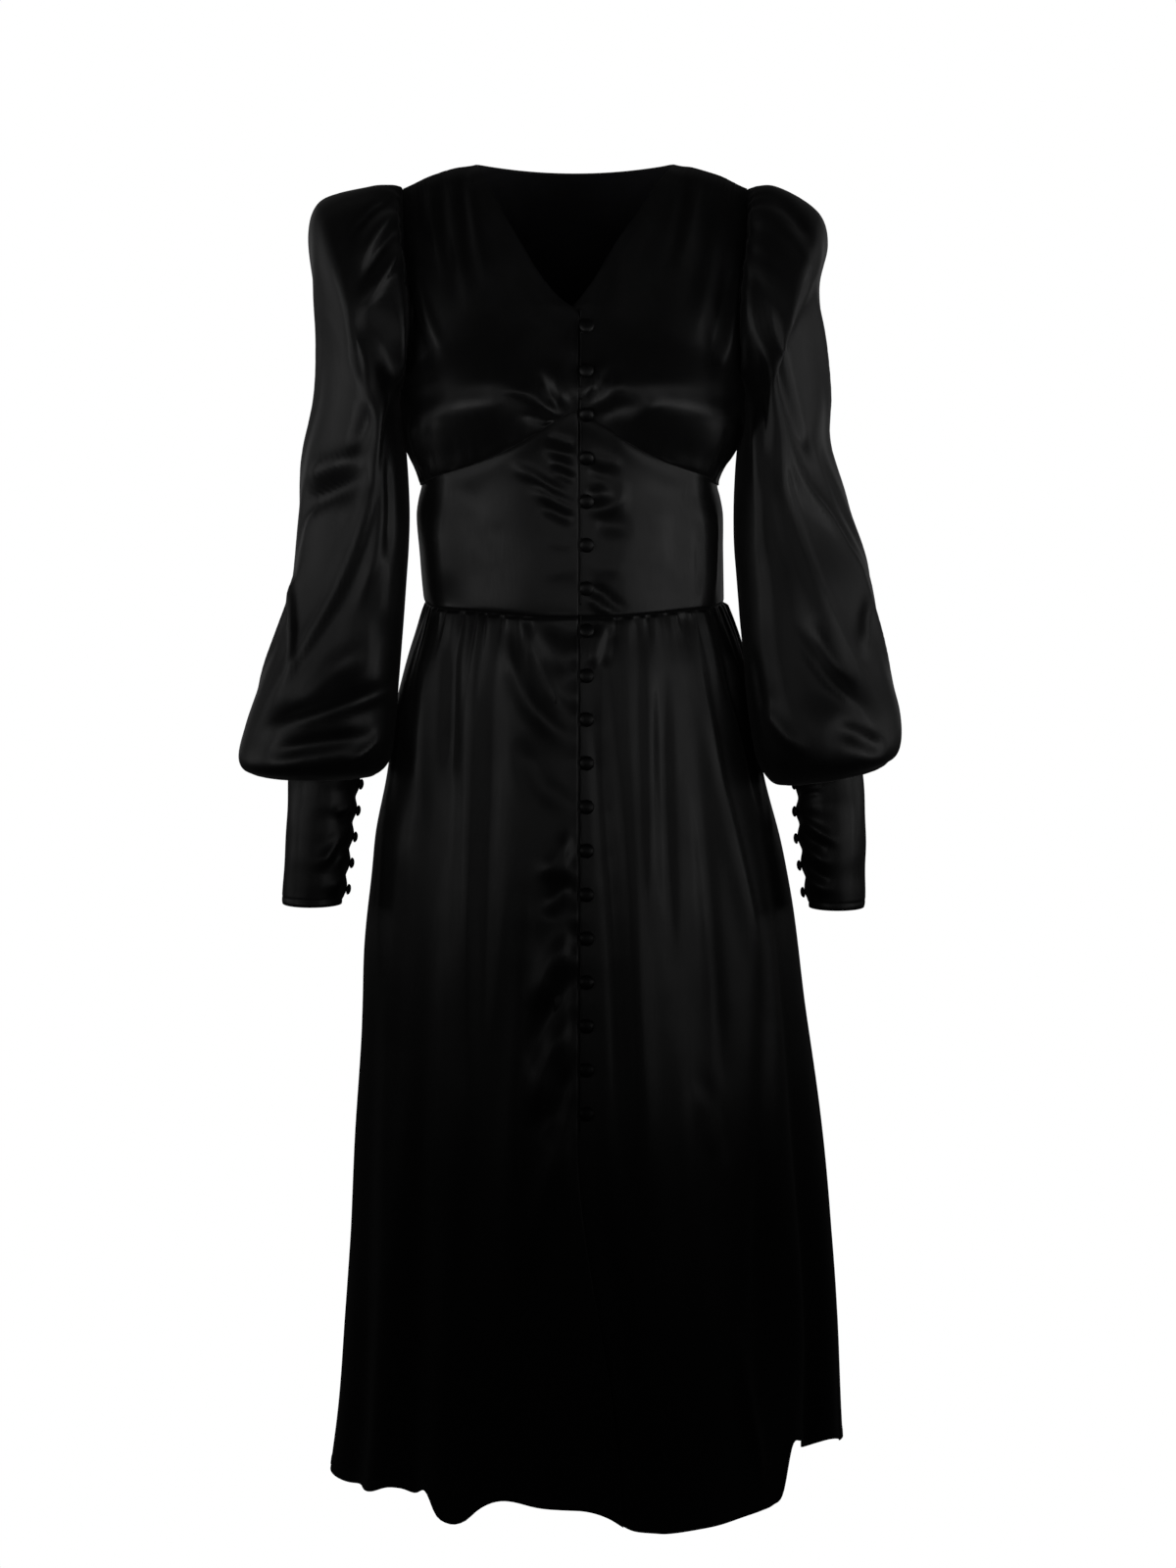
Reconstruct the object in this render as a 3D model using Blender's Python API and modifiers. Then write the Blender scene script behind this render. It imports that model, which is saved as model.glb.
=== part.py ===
"""A button-down midi dress in satin, filled out as it is worn, with nobody in it.

Frame: +Z up, the front faces -Y, +X is the wearer's left. The origin lies on the shoulder
seam plane, level with the points where the shoulder seams meet the neck edge.
Lengths in the tables are millimetres, and angles are degrees from the centre front
(0), over the wearer's left side (+90), to the centre back (180).
"""

import math
from collections import namedtuple

import bmesh
import bpy
import numpy as np
from mathutils import Vector
from mathutils.bvhtree import BVHTree

MM = 0.001
SAME = 1e-6  # two positions on a flat slab that count as one

# ---------------------------------------------------------------- sizes
WALL = 1.5  # satin with its turnings, as one wall
SEAM = 0.3  # gap between neighbouring pieces
ROUND = 2.25  # how full the body's sections are: 2 is an ellipse

NECK_HALF = 84.0
SHOULDER_HALF = 147.0
SHOULDER_DROP = 21.6
NECK_SOFTNESS = 40.0  # rounds the two shoulder slopes into each other over the neck
ARMPIT = -190.0
ARMHOLE_CUT = 0.17  # share of the half width that the armhole takes out
BUST_LEVEL = -185.0
BUST_APART = 76.0  # x of each bust point
BUST_WIDE = 44.0
BUST_TALL = 36.0
BUST_FULL = 9.0  # how far it stands out of the plain section
LEAN_DROP = 150.0  # below the shoulder seam, the cloth's outer side turns from up to level
SHALLOW = 20.0  # least depth that a section's slope is taken with
BACK_NECK = -8.0
BACK_NECK_SHARE = 0.44  # share of the back's top row that the neck edge takes
WAIST = -380.0
MEAN_HEM = -1130.0
BODICE_ROWS = 14
SIDE_SEAM_ROWS = 4  # a bodice piece's rows below the armpit
ARMHOLE_ROWS = BODICE_ROWS - SIDE_SEAM_ROWS
SIDE_SEAM_TOP = SIDE_SEAM_ROWS / BODICE_ROWS
NECK_ROWS_POWER = 1.5  # brings a bodice front's rows closer together near the shoulder

FRONT_EDGE = 2.5  # the right front's edge lies this far past the centre line
UNDERLAP = -18.0  # the left front's edge, under the right front
PLACKET_WIDTH = 34.0  # cloth beside a front's edge that stays flat and ungathered
PLACKET_COLUMNS = 4
PLACKET_LEVEL = -150.0  # above this it narrows, towards the shoulder
PLACKET_NARROWING = 0.6
UNDERLAP_STEP = 3.0  # how much deeper the left front lies at the buttons
UNDERLAP_HEM_STEP = 2.5  # and how much more at the hem
UNDERLAP_FLAT = 15.0  # from the right front's edge, how far the left one stays that deep
UNDERLAP_FADE = 37.0  # and where it is level with the form again
HEM_SWING = 38.0  # how far the right front's edge swings over, at the hem
SWING_START = 20.0  # below the last button

BUTTON_COUNT = 19
FIRST_BUTTON = -135.0
BUTTON_PITCH = 36.7
BUTTON_OFFSET = 10.0
BUTTON_RADIUS = 6.2
BUTTON_NECK = 2.6
BUTTON_HEIGHT = 5.6
CUFF_BUTTONS = 5
CUFF_BUTTON_RADIUS = 4.6
CUFF_BUTTON_NECK = 2.0
CUFF_BUTTON_HEIGHT = 4.4
CUFF_BUTTON_CIRCLE = 168.0  # where they stand round the cuff: 180 is its inner side
BUTTON_SIDES = 8
SEAT_GAP = 0.5  # what is sewn on lies this far above the cloth
SEAT_SEARCH = 30.0  # a seat is looked for from this far outside the cloth
CORD = 1.4  # thickness of the looping

# ---------------------------------------------------------------- tables
Torso = namedtuple("Torso", "level right left")
TORSO = (
    Torso(0, 178, 178),
    Torso(-60, 176, 176),
    Torso(-120, 168, 167),
    Torso(-160, 159, 157),
    Torso(-190, 151, 149),
    Torso(-225, 141, 137),
    Torso(-255, 134, 127),
    Torso(-275, 128, 120),
    Torso(-300, 130, 122),
    Torso(-340, 129, 124),
    Torso(-380, 127, 126),
)

Profile = namedtuple("Profile", "drop front back")
PROFILE = (
    Profile(0, 0, 0),
    Profile(5, 13, 14),
    Profile(15, 27, 29),
    Profile(35, 45, 50),
    Profile(70, 65, 70),
    Profile(105, 81, 84),
    Profile(141, 95, 91),
    Profile(175, 107, 94),
    Profile(200, 115, 93),
    Profile(224, 114, 90),
    Profile(250, 107, 87),
    Profile(290, 103, 83),
    Profile(340, 101, 79),
    Profile(400, 100, 78),
)

Skirt = namedtuple("Skirt", "level right left front back")
SKIRT = (
    Skirt(-380, 127, 126, 100, 78),
    Skirt(-398, 134, 134, 106, 86),
    Skirt(-420, 142, 143, 110, 94),
    Skirt(-450, 150, 150, 113, 101),
    Skirt(-530, 160, 164, 121, 113),
    Skirt(-580, 172, 177, 128, 121),
    Skirt(-625, 177, 186, 134, 127),
    Skirt(-730, 184, 199, 147, 140),
    Skirt(-820, 189, 210, 160, 152),
    Skirt(-910, 194, 220, 171, 163),
    Skirt(-1000, 200, 227, 183, 173),
    Skirt(-1100, 206, 230, 196, 183),
    Skirt(-1145, 211, 232, 201, 187),
)

Hem = namedtuple("Hem", "angle level")
HEM = (
    Hem(-180, -1134),
    Hem(-140, -1130),
    Hem(-90, -1140),
    Hem(-60, -1134),
    Hem(-32, -1131),
    Hem(-15, -1118),
    Hem(0, -1122),
    Hem(16, -1138),
    Hem(40, -1138),
    Hem(62, -1130),
    Hem(80, -1118),
    Hem(105, -1122),
    Hem(140, -1130),
    Hem(180, -1134),
)

# Hanging folds: a ridge stands out, a trough lies in. Height is the height at the hem.
Fold = namedtuple("Fold", "top_angle hem_angle width height start")
FOLDS = (
    Fold(-88, -90, 11, 5, -600),
    Fold(-70, -68, 9, -8, -560),
    Fold(-52, -50, 9, 9, -470),
    Fold(-41, -40, 7, -10, -440),
    Fold(-28, -29, 9, 15, -560),
    Fold(-13, -14, 7, -9, -600),
    Fold(16, 18, 10, 9, -500),
    Fold(33, 36, 8, -9, -470),
    Fold(48, 56, 10, 13, -430),
    Fold(66, 74, 7, -26, -520),
    Fold(96, 100, 12, 8, -560),
    Fold(116, 118, 9, -12, -480),
    Fold(134, 137, 10, 13, -520),
    Fold(156, 157, 9, -11, -460),
    Fold(177, 178, 10, 12, -540),
    Fold(-163, -161, 9, -11, -480),
    Fold(-144, -141, 10, 13, -500),
    Fold(-122, -121, 9, -11, -460),
    Fold(-104, -104, 8, 8, -560),
)

NeckEdge = namedtuple("NeckEdge", "level right left")
NECK_EDGE = (
    NeckEdge(0, -84, 84),
    NeckEdge(-16, -74.5, 70),
    NeckEdge(-34, -64, 57),
    NeckEdge(-63, -44, 33.5),
    NeckEdge(-90, -26, 17),
    NeckEdge(-112, -9, 3),
    NeckEdge(-123.5, 2.5, -6),
    NeckEdge(-140, 2.5, -16),
    NeckEdge(-155, 2.5, -18),
    NeckEdge(-210, 2.5, -18),
)

# The under-bust seam, from the centre front's peak to the side seam.
BustSeam = namedtuple("BustSeam", "angle level")
BUST_SEAM = (
    BustSeam(0, -206),
    BustSeam(9, -221),
    BustSeam(18, -234),
    BustSeam(28, -245),
    BustSeam(47, -258),
    BustSeam(70, -270),
    BustSeam(90, -275),
)

# A sleeve's sections, from the armhole down to the cuff. Outer is the line that runs over
# the puff and down the outside, inner the line that runs down from the armpit.
Section = namedtuple("Section", "row outer_x outer_y outer_z inner_x inner_y inner_z front back")
SLEEVE = {
    "right": (
        Section(0, 146.9, 0, -21.6, 151, 0, -190, 48, 50),
        Section(1, 158, 0, -16.5, 152.5, -2, -192, 53, 54),
        Section(2, 176, 0, -16, 153, -7, -197, 59, 58),
        Section(3, 203, 0, -22, 151, -15, -205, 65, 62),
        Section(4, 220, 0, -36, 148, -24, -216, 70, 65),
        Section(5, 227, 0, -62, 145.5, -30, -230, 72, 66),
        Section(6, 226.5, 2, -105, 143.5, -34, -250, 73, 66),
        Section(7, 222, 4, -150, 142.5, -36, -275, 72, 66),
        Section(8, 221.5, 4, -200, 142.5, -36, -300, 71, 66),
        Section(9, 226, 4, -252, 144, -36, -327, 70, 66),
        Section(10, 234, 2, -305, 146, -36, -355, 69, 66),
        Section(11, 245, -2, -355, 148, -37, -383, 68, 66),
        Section(12, 257, -8, -402, 151, -38, -413, 68, 66),
        Section(13, 269, -16, -443, 155.5, -40, -445, 70, 67),
        Section(14, 281, -24, -482, 159, -42, -478, 72, 68),
        Section(15, 289, -32, -512, 162, -42, -510, 68, 64),
        Section(16, 277, -36, -524, 171, -40, -523, 54, 51),
        Section(17, 245.5, -38, -517, 185, -38, -517, 30.2, 30.2),
    ),
    "left": (
        Section(0, 146.9, 0, -21.6, 149, 0, -190, 48, 50),
        Section(1, 156, 0, -18, 150.5, -2, -192, 52, 53),
        Section(2, 171, 0, -18, 150.5, -7, -197, 57, 57),
        Section(3, 192, 0, -28, 147, -15, -206, 62, 61),
        Section(4, 210, 0, -46, 143, -24, -218, 66, 64),
        Section(5, 215, 0, -70, 139.5, -31, -233, 68, 65),
        Section(6, 210, 2, -104, 137, -36, -253, 70, 65),
        Section(7, 214, 4, -145, 136.5, -39, -277, 71, 65),
        Section(8, 220, 4, -195, 137, -40, -302, 71, 65),
        Section(9, 220, 4, -240, 138, -40, -328, 70, 65),
        Section(10, 233, 2, -290, 139.5, -40, -356, 69, 65),
        Section(11, 247, -2, -340, 141.5, -41, -385, 69, 65),
        Section(12, 256, -8, -388, 145, -42, -415, 69, 65),
        Section(13, 265, -16, -430, 150, -43, -448, 70, 66),
        Section(14, 277, -24, -468, 155.5, -43, -482, 72, 67),
        Section(15, 283, -32, -502, 161, -42, -515, 68, 64),
        Section(16, 272, -36, -516, 171, -40, -531, 54, 51),
        Section(17, 246, -38, -517, 191.5, -38, -517, 27.2, 27.2),
    ),
}
SLEEVE_ROWS = 17
SLEEVE_HEAD_ROWS = 4
SLEEVE_PUFF_HALF = 108.0  # the gathered head reaches this far round from the top, both ways
SLEEVE_ROUND = 2.2
ARMHOLE_GAP = 0.6  # a little more than SEAM, since this seam turns through every direction
ARMHOLE_FADE = 4.0  # rows over which the sleeve leaves the armhole's own curve
SLEEVE_STEP = 0.5  # rows, and columns, over which a sleeve's slope is taken

Cuff = namedtuple("Cuff", "level outer inner")
CUFF = {
    "right": (
        Cuff(-517.3, 246.5, 184),
        Cuff(-545, 247.5, 188),
        Cuff(-580, 249.5, 193),
        Cuff(-610, 251, 196.5),
        Cuff(-631, 252.4, 200),
    ),
    "left": (
        Cuff(-517.3, 247, 190.5),
        Cuff(-550, 249.5, 190.5),
        Cuff(-580, 250.5, 193),
        Cuff(-610, 249.5, 197),
        Cuff(-634, 249, 200.5),
    ),
}
CUFF_Y = -38.0
CUFF_COLUMNS = 14
CUFF_ROWS = 10
RUCHE_HEIGHT = 1.3
RUCHE_SPREAD = 62.0  # degrees round from the cuff's inner side

# Gathers: how many stand on one piece, how high they are at the seam, and how far they run
# (in mm, or in rows on the sleeve's head).
Gather = namedtuple("Gather", "count height run")
SHOULDER_GATHER = Gather(6, 1.3, 120)
BUST_GATHER = Gather(8, 2.0, 38)
WAIST_GATHER_FRONT = Gather(11, 2.3, 70)
WAIST_GATHER_BACK = Gather(14, 2.3, 70)
BACK_WAIST_GATHER = Gather(6, 1.2, 60)
HEAD_GATHER = Gather(12, 3.0, 2.2)

Blouse = namedtuple("Blouse", "most reach")
BUST_BLOUSE = Blouse(4.0, 16.0)
WAIST_BLOUSE = Blouse(3.0, 20.0)

BODICE_COLUMNS = 20
BODICE_BACK_COLUMNS = 18
MIDRIFF_ROWS = 5
SKIRT_FRONT_COLUMNS = 36
SKIRT_BACK_COLUMNS = 42
SKIRT_ROWS = 14
SKIRT_GATHER_ROWS = 4

COLOURS = {
    "bodice": (0.012, 0.012, 0.014),
    "midriff": (0.014, 0.014, 0.016),
    "skirt": (0.011, 0.011, 0.013),
    "sleeve": (0.013, 0.013, 0.015),
    "cuff": (0.014, 0.014, 0.016),
    "button": (0.010, 0.010, 0.012),
    "loops": (0.008, 0.008, 0.009),
}
ROUGHNESS = 0.34


# ---------------------------------------------------------------- small maths
def read(rows, field, at):
    """A table's named column as a smooth curve, read at one or many places."""
    rows = sorted(rows)
    knots = np.array([row[0] for row in rows], float)
    values = np.array([getattr(row, field) for row in rows], float)
    slopes = np.gradient(values, knots)
    at = np.clip(at, knots[0], knots[-1])
    low = np.clip(np.searchsorted(knots, at) - 1, 0, len(knots) - 2)
    step = knots[low + 1] - knots[low]
    part = (at - knots[low]) / step
    rise = 3 * part**2 - 2 * part**3
    start = part * (1 - part) ** 2 * step * slopes[low]
    end = part**2 * (1 - part) * step * slopes[low + 1]
    return values[low] * (1 - rise) + values[low + 1] * rise + start - end


def ease(value, low, high):
    """0 below low, 1 above high, and a soft step between."""
    part = np.clip((value - low) / (high - low), 0, 1)
    return part * part * (3 - 2 * part)


def mix(first, second, share):
    return first * (1 - share) + second * share


def signed_power(value, power):
    return np.sign(value) * np.abs(value) ** power


def unit(vectors):
    return vectors / np.linalg.norm(vectors, axis=-1, keepdims=True)


# ---------------------------------------------------------------- the worn form
def half_width(x_sign, level):
    """Half the form's width at a level, on the wearer's right (-1) or left (+1)."""
    above = np.where(x_sign < 0, read(TORSO, "right", level), read(TORSO, "left", level))
    below = np.where(x_sign < 0, read(SKIRT, "right", level), read(SKIRT, "left", level))
    return np.where(level > WAIST, above, below)


def shoulder_height(x):
    """Height of the shoulder seam's line over any x, rounded across the neck."""
    reach = np.hypot(x, NECK_SOFTNESS) - (math.hypot(NECK_HALF, NECK_SOFTNESS) - NECK_HALF)
    slope = SHOULDER_DROP / (SHOULDER_HALF - NECK_HALF)
    return -slope * (np.minimum(reach, SHOULDER_HALF) - NECK_HALF)


def half_depth(x, level, facing):
    """How far the form reaches to the front (facing -1) or the back (+1)."""
    side = "front" if facing < 0 else "back"
    drop = np.maximum(shoulder_height(x) - level, 0)
    return np.where(level > WAIST, read(PROFILE, side, drop), read(SKIRT, side, level))


def turn_at(x, level):
    """The angle, from the centre line, at which the form's section passes x."""
    share = np.clip(x / half_width(x, level), -1, 1)
    return np.degrees(np.arcsin(signed_power(share, ROUND / 2)))


def skirt_fold(angle, level):
    """How far the hanging folds move the form outwards."""
    hem = read(HEM, "level", angle)
    total = np.zeros(np.broadcast(angle, level).shape)
    for fold in FOLDS:
        grown = np.clip((fold.start - level) / (fold.start - hem), 0, 1)
        centre = mix(fold.top_angle, fold.hem_angle, grown)
        away = (angle - centre + 180) % 360 - 180
        total += fold.height * grown * np.exp(-((away / fold.width) ** 2))
    return total


def form(turn, level, facing, lift=0.0):
    """(points, outward) of the form at an angle from the centre line, raised by lift."""
    turn = np.asarray(turn, float)
    level = np.asarray(level, float)
    sine = np.sin(np.radians(turn))
    cosine = np.abs(np.cos(np.radians(turn)))
    wide = half_width(sine, level)
    x = wide * signed_power(sine, 2 / ROUND)
    deep = half_depth(x, level, facing)
    y = facing * deep * cosine ** (2 / ROUND)
    if facing < 0:
        aside = (np.abs(x) - BUST_APART) / BUST_WIDE
        bust = np.exp(-(aside**2) - ((level - BUST_LEVEL) / BUST_TALL) ** 2)
        y = y - BUST_FULL * bust * cosine**0.5
    lean = np.radians(90) * np.clip((shoulder_height(x) - level) / LEAN_DROP, 0, 1) ** 0.5
    flat = unit(np.stack([x / wide**2, y / np.maximum(deep, SHALLOW) ** 2], -1))
    outward = np.stack(
        [flat[..., 0] * np.sin(lean), flat[..., 1] * np.sin(lean), np.cos(lean)], -1
    )
    angle = turn if facing < 0 else (180 - turn + 180) % 360 - 180
    raised = lift + skirt_fold(angle, level)
    points = np.stack([x, y, level], -1) + outward * np.asarray(raised)[..., None]
    return points, outward


def gather(share, gather_row, away, start=0.06, end=0.06):
    """Ridges and troughs across a gathered edge, which fade with the distance from it."""
    fade = np.exp(-((np.maximum(away, 0) / gather_row.run) ** 1.5))
    window = ease(share, start, start + 0.08) * ease(1 - share, end - 0.06, end + 0.02)
    uneven = share + 0.012 * np.sin(17 * share + 1.0) + 0.008 * np.sin(31 * share)
    wave = np.cos(2 * math.pi * gather_row.count * uneven)
    return gather_row.height * fade * window * wave


# ---------------------------------------------------------------- cut pieces as slabs
def slab(columns, rows, dense_rows=None, thinned=None, tube=False):
    """A flat unit slab in the cut's own coordinates: across, along, and through the cloth.

    Past dense_rows every second column is left out, within the thinned columns if given.
    """
    bm = bmesh.new()
    bmesh.ops.create_grid(bm, x_segments=columns, y_segments=rows, size=0.5)
    bmesh.ops.translate(bm, verts=bm.verts[:], vec=(0.5, 0.5, 0))
    first, last = thinned or (0, columns)

    def spare(vert):
        column = round(vert.co.x * columns)
        return column % 2 == 1 and first < column < last and round(vert.co.y * rows) >= dense_rows

    if dense_rows is not None:
        upright = [e for e in bm.edges if abs(e.verts[0].co.x - e.verts[1].co.x) < SAME]
        extra = [edge for edge in upright if all(spare(vert) for vert in edge.verts)]
        bmesh.ops.dissolve_edges(bm, edges=extra, use_verts=True)
    bmesh.ops.solidify(bm, geom=bm.faces[:], thickness=1.0)
    if tube:
        ends = [
            face
            for face in bm.faces
            if all(vert.co.x < SAME for vert in face.verts)
            or all(vert.co.x > 1 - SAME for vert in face.verts)
        ]
        bmesh.ops.delete(bm, geom=ends, context="FACES_ONLY")
    return bm


def satin(name, kind):
    """A material of its own for one piece."""
    material = bpy.data.materials.new(name + "_satin")
    material.use_nodes = True
    shader = material.node_tree.nodes["Principled BSDF"]
    shader.inputs["Base Color"].default_value = (*COLOURS[kind], 1)
    shader.inputs["Roughness"].default_value = ROUGHNESS
    shader.inputs["Metallic"].default_value = 0.0
    return material


def add_object(name, data, kind):
    obj = bpy.data.objects.new(name, data)
    data.materials.clear()
    data.materials.append(satin(name, kind))
    dress.objects.link(obj)
    return obj


def sew(name, kind, bm, shape):
    """Bends a slab on to the form: shape gives (points, outward) for across and along."""
    flat = np.array([vert.co[:] for vert in bm.verts])
    points, outward = shape(flat[:, 0], flat[:, 1])
    points = points - outward * WALL * np.abs(flat[:, 2:3])
    for vert, point in zip(bm.verts, points * MM):
        vert.co = point
    bmesh.ops.remove_doubles(bm, verts=bm.verts[:], dist=0.00001)
    bmesh.ops.recalc_face_normals(bm, faces=bm.faces[:])
    mesh = bpy.data.meshes.new(name)
    bm.to_mesh(mesh)
    bm.free()
    mesh.shade_smooth()
    mesh.set_sharp_from_angle(angle=math.radians(50))
    return add_object(name, mesh, kind)


# ---------------------------------------------------------------- bodice and midriff
def armhole(circle):
    """(turn, level) on the armhole's edge: circle 0 is its top and 180 the armpit."""
    rise = np.radians(np.minimum(180 - circle, 90))
    share = 1 - ARMHOLE_CUT * np.sin(rise) ** 2
    turn = np.degrees(np.arcsin(share ** (ROUND / 2)))
    middle = (ARMPIT - SHOULDER_DROP) / 2
    half = (-SHOULDER_DROP - ARMPIT) / 2
    return turn, middle + half * np.cos(np.radians(circle))


def outer_edge(along, bottom):
    """(turn, level) of a bodice piece's outer edge: side seam, then armhole."""
    climb = np.clip(along / SIDE_SEAM_TOP, 0, 1)
    circle = 180 * (1 - np.clip((along - SIDE_SEAM_TOP) / (1 - SIDE_SEAM_TOP), 0, 1))
    turn, level = armhole(circle)
    low = mix(bottom, ARMPIT, climb)
    return np.where(along < SIDE_SEAM_TOP, 90.0, turn), np.where(along < SIDE_SEAM_TOP, low, level)


def blouse(height, blouse_row):
    """Fullness that rolls over a seam: nothing at the seam, and most at its reach above it."""
    above = np.maximum(height, 0) / blouse_row.reach
    return blouse_row.most * above * np.exp(1 - above)


def underlap_step(x, level, side):
    """The left front lies deeper where the right front laps over it."""
    if side == "right":
        return 0.0
    edge = front_edge(level)
    deeper = UNDERLAP_STEP + UNDERLAP_HEM_STEP * ease(-level, -WAIST, -MEAN_HEM)
    return -deeper * (1 - ease(x, edge + UNDERLAP_FLAT, edge + UNDERLAP_FADE))


def front_edge(level):
    """x of the right front's edge, which swings over below the last button."""
    last = FIRST_BUTTON - (BUTTON_COUNT - 1) * BUTTON_PITCH
    return FRONT_EDGE + HEM_SWING * ease(-level, SWING_START - last, -MEAN_HEM)


def inner_x(level, side):
    """x of a front piece's inner edge at any level."""
    straight = front_edge(level)
    if side == "left":
        straight = straight + UNDERLAP - FRONT_EDGE
    return np.where(level > NECK_EDGE[-1].level, read(NECK_EDGE, side, level), straight)


def past_placket(across, columns):
    """Share of the way from the placket's last column to the outer edge."""
    placket = PLACKET_COLUMNS / columns
    return np.clip((across - placket) / (1 - placket), 0, 1)


def front_turn(across, level, side, columns, outer_turn=90.0):
    """Angle of a front's column: a flat placket of fixed width, then an even spread."""
    sign = -1 if side == "right" else 1
    width = PLACKET_WIDTH * (1 - PLACKET_NARROWING * ease(level, PLACKET_LEVEL, 0))
    within = np.clip(across * columns / PLACKET_COLUMNS, 0, 1)
    placket = turn_at(inner_x(level, side) + sign * width * within, level)
    return mix(placket, sign * outer_turn, past_placket(across, columns))


def bust_seam(turn, side):
    """Level of the under-bust seam at an angle, the same on both fronts at the centre."""
    sign = -1 if side == "right" else 1
    return read(BUST_SEAM, "level", np.clip(sign * turn, 0, 90))


def bodice_front(side):
    sign = -1 if side == "right" else 1

    def shape(across, along):
        outer_turn, outer_level = outer_edge(along, BUST_SEAM[-1].level)
        inner_level = BUST_SEAM[0].level * (1 - along) ** NECK_ROWS_POWER
        turn = front_turn(across, inner_level, side, BODICE_COLUMNS, outer_turn)
        seam = bust_seam(turn, side)
        seam_share = (seam - BUST_SEAM[0].level) / (BUST_SEAM[-1].level - BUST_SEAM[0].level)
        share = mix(seam_share, across, ease(along, 0, 0.8))
        level = mix(inner_level, outer_level, share)
        top_turn = mix(turn_at(sign * NECK_HALF, 0.0), sign * armhole(0.0)[0], across)
        top_x = half_width(sign, 0.0) * signed_power(np.sin(np.radians(top_turn)), 2 / ROUND)
        residual = shoulder_height(top_x) + SHOULDER_DROP * across
        level = level + residual * along**4
        height = level - seam
        level = level + SEAM / 2 * (1 - along)
        x = form(turn, level, -1)[0][:, 0]
        top = -level - SHOULDER_DROP * across
        free = past_placket(across, BODICE_COLUMNS)
        full = blouse(height, BUST_BLOUSE) * ease(free, 0, 0.15) * ease(1 - free, 0, 0.2)
        lift = gather(across, SHOULDER_GATHER, top)
        lift = lift + gather(free, BUST_GATHER, height) + full
        lift = lift + underlap_step(x, level, side)
        points, outward = form(turn, level, -1, lift)
        return points + (0, -SEAM / 2, 0), outward

    bm = slab(BODICE_COLUMNS, BODICE_ROWS)
    return sew("bodice_front_" + side, "bodice", bm, shape)


def bodice_back():
    def shape(across, along):
        which = 2 * across - 1
        share = np.abs(which)
        sign = np.where(which < 0, -1.0, 1.0)
        outer_turn, outer_level = outer_edge(along, WAIST)
        neck_turn = turn_at(NECK_HALF, 0.0)
        # The neck edge takes the middle of the top row, and the shoulders its ends.
        shoulder = (share - BACK_NECK_SHARE) / (1 - BACK_NECK_SHARE)
        at_neck = neck_turn * share / BACK_NECK_SHARE
        at_top = np.where(shoulder < 0, at_neck, mix(neck_turn, outer_turn, shoulder))
        turn = mix(outer_turn * share, at_top, ease(along, 0.75, 1.0))
        top_x = half_width(1, 0.0) * np.sin(np.radians(turn)) ** (2 / ROUND)
        neck_level = BACK_NECK * (1 - np.clip(top_x / NECK_HALF, 0, 1) ** 2)
        seam_level = np.where(shoulder < 0, neck_level, shoulder_height(top_x))
        middle_level = mix(WAIST, BACK_NECK, along**0.8)
        level = mix(middle_level, outer_level, share**1.5)
        level = mix(level, seam_level, ease(along, 0.55, 1.0) ** 2)
        level = np.where(share > 1 - SAME, outer_level, level)
        height = level - WAIST
        level = level + SEAM / 2 * (1 - along)
        full = blouse(height, WAIST_BLOUSE) * ease(1 - share, 0, 0.2)
        lift = gather(across, BACK_WAIST_GATHER, height) + full
        points, outward = form(sign * turn, level, 1, lift)
        return points + (0, SEAM / 2, 0), outward

    bm = slab(BODICE_BACK_COLUMNS, BODICE_ROWS)
    return sew("bodice_back", "bodice", bm, shape)


def midriff(side):
    def shape(across, along):
        straight = mix(WAIST, BUST_SEAM[0].level, along)
        turn = front_turn(across, straight, side, BODICE_COLUMNS)
        top = bust_seam(turn, side)
        level = mix(WAIST + SEAM / 2, top - SEAM / 2, along)
        x = form(turn, level, -1)[0][:, 0]
        points, outward = form(turn, level, -1, underlap_step(x, level, side))
        return points + (0, -SEAM / 2, 0), outward

    bm = slab(BODICE_COLUMNS, MIDRIFF_ROWS)
    return sew("midriff_" + side, "midriff", bm, shape)


# ---------------------------------------------------------------- skirt
def skirt_level(angle, along):
    """Level of a skirt row: 0 is the waist seam and 1 the hem, closer rows at the waist."""
    return mix(WAIST - SEAM / 2, read(HEM, "level", angle), along**1.35)


def skirt_front(side):
    def shape(across, along):
        straight = skirt_level(0.0, along)
        turn = front_turn(across, straight, side, SKIRT_FRONT_COLUMNS)
        level = skirt_level(turn, along)
        x = form(turn, level, -1)[0][:, 0]
        free = past_placket(across, SKIRT_FRONT_COLUMNS)
        lift = gather(free, WAIST_GATHER_FRONT, WAIST - level)
        lift = lift + underlap_step(x, level, side)
        points, outward = form(turn, level, -1, lift)
        return points + (0, -SEAM / 2, 0), outward

    bm = slab(SKIRT_FRONT_COLUMNS, SKIRT_ROWS, SKIRT_GATHER_ROWS)
    return sew("skirt_front_" + side, "skirt", bm, shape)


def skirt_back():
    def shape(across, along):
        turn = mix(-90.0, 90.0, across)
        angle = (180 - turn + 180) % 360 - 180
        level = skirt_level(angle, along)
        lift = gather(across, WAIST_GATHER_BACK, WAIST - level)
        points, outward = form(turn, level, 1, lift)
        return points + (0, SEAM / 2, 0), outward

    bm = slab(SKIRT_BACK_COLUMNS, SKIRT_ROWS, SKIRT_GATHER_ROWS)
    return sew("skirt_back", "skirt", bm, shape)


# ---------------------------------------------------------------- sleeves and cuffs
def sleeve_columns():
    """Columns round a sleeve: two for each row of the armhole on the head, one under the arm."""
    run = 180 / ARMHOLE_ROWS
    head = round(2 * 2 * SLEEVE_PUFF_HALF / run)
    under = round((360 - 2 * SLEEVE_PUFF_HALF) / run)
    return head, under


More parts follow.
